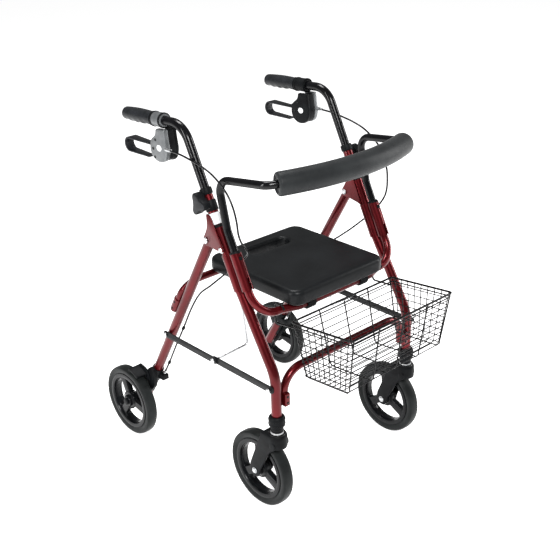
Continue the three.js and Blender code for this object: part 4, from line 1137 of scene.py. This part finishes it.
def seat():
    """Blow-moulded seat: slightly dished top, rounded rim, and a flared hand slot."""
    thickness = 0.038
    half = SEAT_HIGH.x
    low_y, high_y = SEAT_LOW.y, SEAT_HIGH.y
    bottom = SEAT_HIGH.z - thickness
    rim = [(0.030, 0.0), (0.009, 0.0), (0.004, 0.0012), (0.0012, 0.004), (0.0, 0.009), (0.0, 0.0165),
           (0.0, 0.0250), (0.0007, 0.0292), (0.0026, 0.0330), (0.0056, 0.0358), (0.0092, 0.0373),
           (0.0135, 0.0378)]
    loops = [[Vector((x, y, bottom + z)) for x, y in
              rounded_rectangle(half - inset, low_y + inset, high_y - inset, max(0.030 - inset, 0.008))]
             for inset, z in rim]
    slot_y = (low_y + 0.242, low_y + 0.284)
    slot_rim = [(0.0075, 0.0378), (0.0050, 0.0372), (0.0022, 0.0355), (0.0006, 0.0325), (0.0, 0.0285),
                (0.0, 0.004), (0.0012, 0.0012), (0.004, 0.0)]
    slot = [[Vector((x, y, bottom + z)) for x, y in
             rounded_rectangle(0.064 + out, slot_y[0] - out, slot_y[1] + out, 0.0190 + out)]
            for out, z in slot_rim]
    between = 14
    dish = 0.0016
    outer, inner = loops[-1], slot[0]
    for i in range(1, between):
        t = i / between
        row = []
        for a, b in zip(outer, inner):
            p = a.lerp(b, t)
            across = max(0.0, 1 - (p.x / half) ** 2)
            along = max(0.0, 1 - (2 * (p.y - low_y) / (high_y - low_y) - 1) ** 2)
            p.z -= dish * across * along * math.sin(math.pi * t) ** 0.5
            row.append(p)
        loops.append(row)
    loops += slot
    vertices = [p for row in loops for p in row]
    faces = skin(len(loops), len(outer), True)
    place("seat_moulding", mesh_of("seat_moulding", vertices, faces), "seat_body", SEAT, ["seat"], 50)
    for side, s in SIDES:
        ring_profile = mirrored([(CARRIER_R + 0.0005, -0.013), (0.0140, -0.013), (0.0150, -0.012)])
        turned(f"seat_hinge_ring_{side}", ring_profile, (s * 0.090, HINGE.y, HINGE.z), (1, 0, 0), "seat_body",
               PLASTIC)
        lug = smooth_loop([
            (-0.013, 0.019, 0.001),
            (-0.0095, -0.0085, 0.006),
            (0.0095, -0.0085, 0.006),
            (0.013, 0.019, 0.001),
        ])
        hole = ring(0.005, 24)
        lug_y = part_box(f"lift_rod_{side}")[1].y - ROD_R
        at = side_plane(s * 0.138) @ Matrix.Translation((lug_y, bottom - 0.0096, 0))
        pressed(f"seat_lug_{side}", [lug, hole], 0.008, 0.0006, at, "seat_body", PLASTIC)


# ------------------------------------------------------------------ backrest
def pad_line(count):
    """The bowed front run of the backrest bar."""
    half = 0.212
    end = 0.207
    points = []
    for k in range(count + 1):
        x = end * (2 * k / count - 1)
        bow = 1 - (x / half) ** 2
        points.append(Vector((x, MIDDLE_Y - 0.271 - 0.047 * bow, 0.839 + 0.004 * bow)))
    return points


def backrest_tube():
    def side_corners(s):
        x = s * SIDE_X
        top = Vector((x, BACK_TOP.y, BACK_TOP.z))
        front = Vector((s * 0.227, MIDDLE_Y - 0.260, 0.838))
        return [carrier_arm(0.618, x), (carrier_arm(BACK_KNEE_Z, x), 0.060), (top, 0.032), (front, 0.026)]

    corners = [*side_corners(-1), *pad_line(24), *reversed(side_corners(1))]
    tube("backrest_bar", corners, BACK_R, "backrest", BLACK, ["backrest_tube"])


def backrest_pad():
    """Foam roll round the bar, with rounded ends set back round the tube."""
    line = pad_line(60)
    start = (line[1] - line[0]).normalized()
    finish = (line[-2] - line[-1]).normalized()
    ease = 0.007
    path = []
    radii = []
    for k in range(7):
        a = math.pi / 2 * k / 6
        path.append(line[0] + start * (ease * (1 - math.cos(a))))
        radii.append(PAD_R - ease + ease * math.sin(a))
    inside = [p for p in line if (p - line[0]).length > ease * 1.3 and (p - line[-1]).length > ease * 1.3]
    path += inside
    radii += [PAD_R] * len(inside)
    for k in reversed(range(7)):
        a = math.pi / 2 * k / 6
        path.append(line[-1] + finish * (ease * (1 - math.cos(a))))
        radii.append(PAD_R - ease + ease * math.sin(a))
    path = [path[0] + start * 0.0025, path[0] + start * 0.0025, *path, path[-1] + finish * 0.0025,
            path[-1] + finish * 0.0025]
    radii = [BACK_R + 0.0006, PAD_R - ease - 0.002, *radii, PAD_R - ease - 0.002, BACK_R + 0.0006]
    sides = 64
    directions = [start] * 9 + [(b - a).normalized() for a, b in zip(inside, inside[1:] + [line[-1]])]
    directions += [-finish] * 9
    vertices = []
    for p, r, along in zip(path, radii, directions):
        across = Vector((0, 0, 1)).cross(along).normalized()
        up = along.cross(across).normalized()
        for u, w in ring(1.0, sides):
            vertices.append(p + across * (u * r) + up * (w * r))
    name = "backrest_foam"
    mesh = mesh_of(name, vertices, skin(len(path), sides))
    pad = place(name, mesh, "backrest", FOAM, ["backrest_pad"], 60)


# ------------------------------------------------------------------ basket
def tub_point(u, w, level):
    """A point of the tapered basket.

    u and w run from -1 to 1 across and from front to rear, and level from 0 at the floor to 1 at the rim.
    """
    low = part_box("basket")[0]
    wire = 0.0015
    half = 0.1745 * level + 0.1655 * (1 - level)
    y_front = (low.y + wire) * level + (low.y + 0.021 + wire) * (1 - level)
    y_rear = (low.y + 0.193 - wire) * level + (low.y + 0.160 - wire) * (1 - level)
    t = (w + 1) / 2
    z_rim = 0.520 - 0.020 * t
    z_floor = 0.372 - 0.012 * t
    return Vector((u * half, y_front + (y_rear - y_front) * t, z_floor + (z_rim - z_floor) * level))


def loop_round(level):
    """Closed line round the basket at a level, with small corner arcs."""
    ease = 0.05
    line = []
    for u, w, du, dw in ((-1, -1, 0, 1), (1, -1, -1, 0), (1, 1, 0, -1), (-1, 1, 1, 0)):
        a = (u + du * ease, w + dw * ease * 1.8)
        b = (u + dw * ease, w - du * ease * 1.8)
        for k in range(5):
            t = k / 4
            p = Vector(a) * (1 - t) ** 2 + Vector((u, w)) * (2 * t * (1 - t)) + Vector(b) * t ** 2
            line.append(tub_point(p.x, p.y, level))
    return line


def u_wire(start, across):
    """A wire down one wall, over the floor and up the other wall."""
    levels = [1, 0.75, 0.5, 0.25, 0.045]
    floor = [-0.93, -0.6, -0.3, 0, 0.3, 0.6, 0.93]
    if across:
        down = [tub_point(-1, start, k) for k in levels]
        flat = [tub_point(k, start, 0) for k in floor]
        up = [tub_point(1, start, k) for k in reversed(levels)]
    else:
        down = [tub_point(start, -1, k) for k in levels]
        flat = [tub_point(start, k, 0) for k in floor]
        up = [tub_point(start, 1, k) for k in reversed(levels)]
    return [*down, *flat, *up]


def basket():
    """Welded wire basket with a heavy rim and two hooks over the seat carrier."""
    fine = 0.00125
    stout = 0.0018
    runs = []
    for k in range(9):
        runs.append((u_wire(-0.9 + 1.8 * k / 8, True), fine, False))
    for k in range(5):
        runs.append((u_wire(-0.96 + 1.92 * k / 4, False), stout, False))
    for k in range(8):
        runs.append((loop_round(0.04 + 0.83 * k / 7), fine, True))
    wires("basket_grid", runs, "basket_body", WIRE, ["basket"])
    rim = [(loop_round(0.985), 0.0026, True), (loop_round(0.915), 0.0017, True)]
    front = [tub_point(-0.97, -1, 0.995), tub_point(0, -1, 0.995), tub_point(0.97, -1, 0.995)]
    rim.append(([p + Vector((0, 0.0035, -0.0045)) for p in front], 0.0024, False))
    wires("basket_rim", rim, "basket_body", WIRE, sides=12)
    reach = CARRIER_R + 0.0042
    hooks = []
    for _, s in SIDES:
        x = s * HOOK_X
        y, z = CARRIER_CORNER_Y, HINGE.z
        hooks.append((bent([
            (x, y - reach, z + 0.004),
            ((x, y - reach, z + reach), 0.010),
            ((x, y + reach, z + reach), 0.010),
            ((x, y + reach, 0.474), 0.008),
            tub_point(s * 0.96, 1, 0.86) + Vector((0, 0.001, 0)),
        ], 8), 0.0024, False))
    wires("basket_hooks", hooks, "basket_body", WIRE, sides=12)


# ------------------------------------------------------------------ studio
def camera():
    """The photograph's view: position from its bearing, height angle, roll and distance."""
    bearing = math.radians(-42.27)
    height = math.radians(24.65)
    roll = math.radians(-1.5)
    distance = 2.701
    aim_right = 0.0218
    aim_up = 0.4172
    back = Vector((math.sin(bearing) * math.cos(height), -math.cos(bearing) * math.cos(height),
                   math.sin(height)))
    level_right = Vector((math.cos(bearing), math.sin(bearing), 0))
    level_up = back.cross(level_right)
    right = level_right * math.cos(roll) + level_up * math.sin(roll)
    up = level_up * math.cos(roll) - level_right * math.sin(roll)
    middle = Vector((0, MIDDLE_Y, 0))
    aim = middle + right * aim_right + up * aim_up
    turn = Matrix((right, up, back)).transposed().to_4x4()
    data = bpy.data.cameras.new("camera")
    data.lens = 61.53
    data.sensor_width = 36
    data.clip_end = 50
    made = bpy.data.objects.new("camera", data)
    made.matrix_world = Matrix.Translation(aim + back * distance) @ turn
    bpy.context.scene.collection.objects.link(made)
    bpy.context.scene.camera = made


def floor():
    reach = 20
    corners = [(-reach, -reach, 0), (reach, -reach, 0), (reach, reach, 0), (-reach, reach, 0)]
    mesh = mesh_of("floor", corners, [[0, 1, 2, 3]])
    material, bsdf = shader("floor_white", (0.93, 0.93, 0.93), 0.9)
    bsdf.inputs["Specular IOR Level"].default_value = 0.1
    bsdf.inputs["Emission Color"].default_value = (1, 1, 1, 1)
    bsdf.inputs["Emission Strength"].default_value = 0.75
    mesh.materials.append(material)
    made = bpy.data.objects.new("floor", mesh)
    bpy.context.scene.collection.objects.link(made)


def softbox(name, at, aim, size, power):
    data = bpy.data.lights.new(name, "AREA")
    data.shape = "RECTANGLE"
    data.size, data.size_y = size
    data.energy = power
    made = bpy.data.objects.new(name, data)
    made.location = at
    made.rotation_euler = (Vector(aim) - Vector(at)).to_track_quat("-Z", "Y").to_euler()
    bpy.context.scene.collection.objects.link(made)


def studio():
    world = bpy.data.worlds.new("studio")
    world.use_nodes = True
    background = world.node_tree.nodes["Background"]
    background.inputs["Color"].default_value = (1, 1, 1, 1)
    background.inputs["Strength"].default_value = 0.22
    bpy.context.scene.world = world
    middle = (0, 0, 0.5)
    softbox("key", (-1.6, -2.4, 3.0), middle, (1.0, 1.0), 120)
    softbox("left_strip", (-3.0, 0.4, 1.6), middle, (0.3, 2.2), 60)
    softbox("right_strip", (2.8, -1.4, 1.5), middle, (0.35, 2.0), 55)
    softbox("top", (0.2, 0.9, 3.4), middle, (1.4, 0.8), 75)
    bpy.context.scene.view_settings.view_transform = "Standard"


# ------------------------------------------------------------------ build
camera()
for side_name, sign in SIDES:
    front_leg(side_name, sign)
    rear_leg(side_name, sign)
    backrest_socket(side_name, sign)
    side_hardware(side_name, sign)
    lift_rod(side_name, sign)
    leg_collar(side_name, sign)
    height_knob(side_name, sign)
    stem_sleeve(side_name, sign)
    wheel("rear", side_name, Vector((sign * REAR_AXLE.x, REAR_AXLE.y, REAR_AXLE.z)),
          f"rear_wheel_{side_name}", math.radians(8))
    wheel("caster", side_name, Vector((sign * CASTER_AXLE.x, CASTER_AXLE.y, CASTER_AXLE.z)),
          f"caster_wheel_{side_name}", math.radians(25))
    caster_fork(side_name, sign)
    rear_axle_cap(side_name, sign)
    handle_tube(side_name, sign)
    hand_grip(side_name, sign)
    brake_housing(side_name, sign)
    brake_lever(side_name, sign)
    brake_cable(side_name, sign)
seat_carrier()
cross_bar()
rear_arch()
seat()
backrest_tube()
backrest_pad()
basket()
floor()
studio()
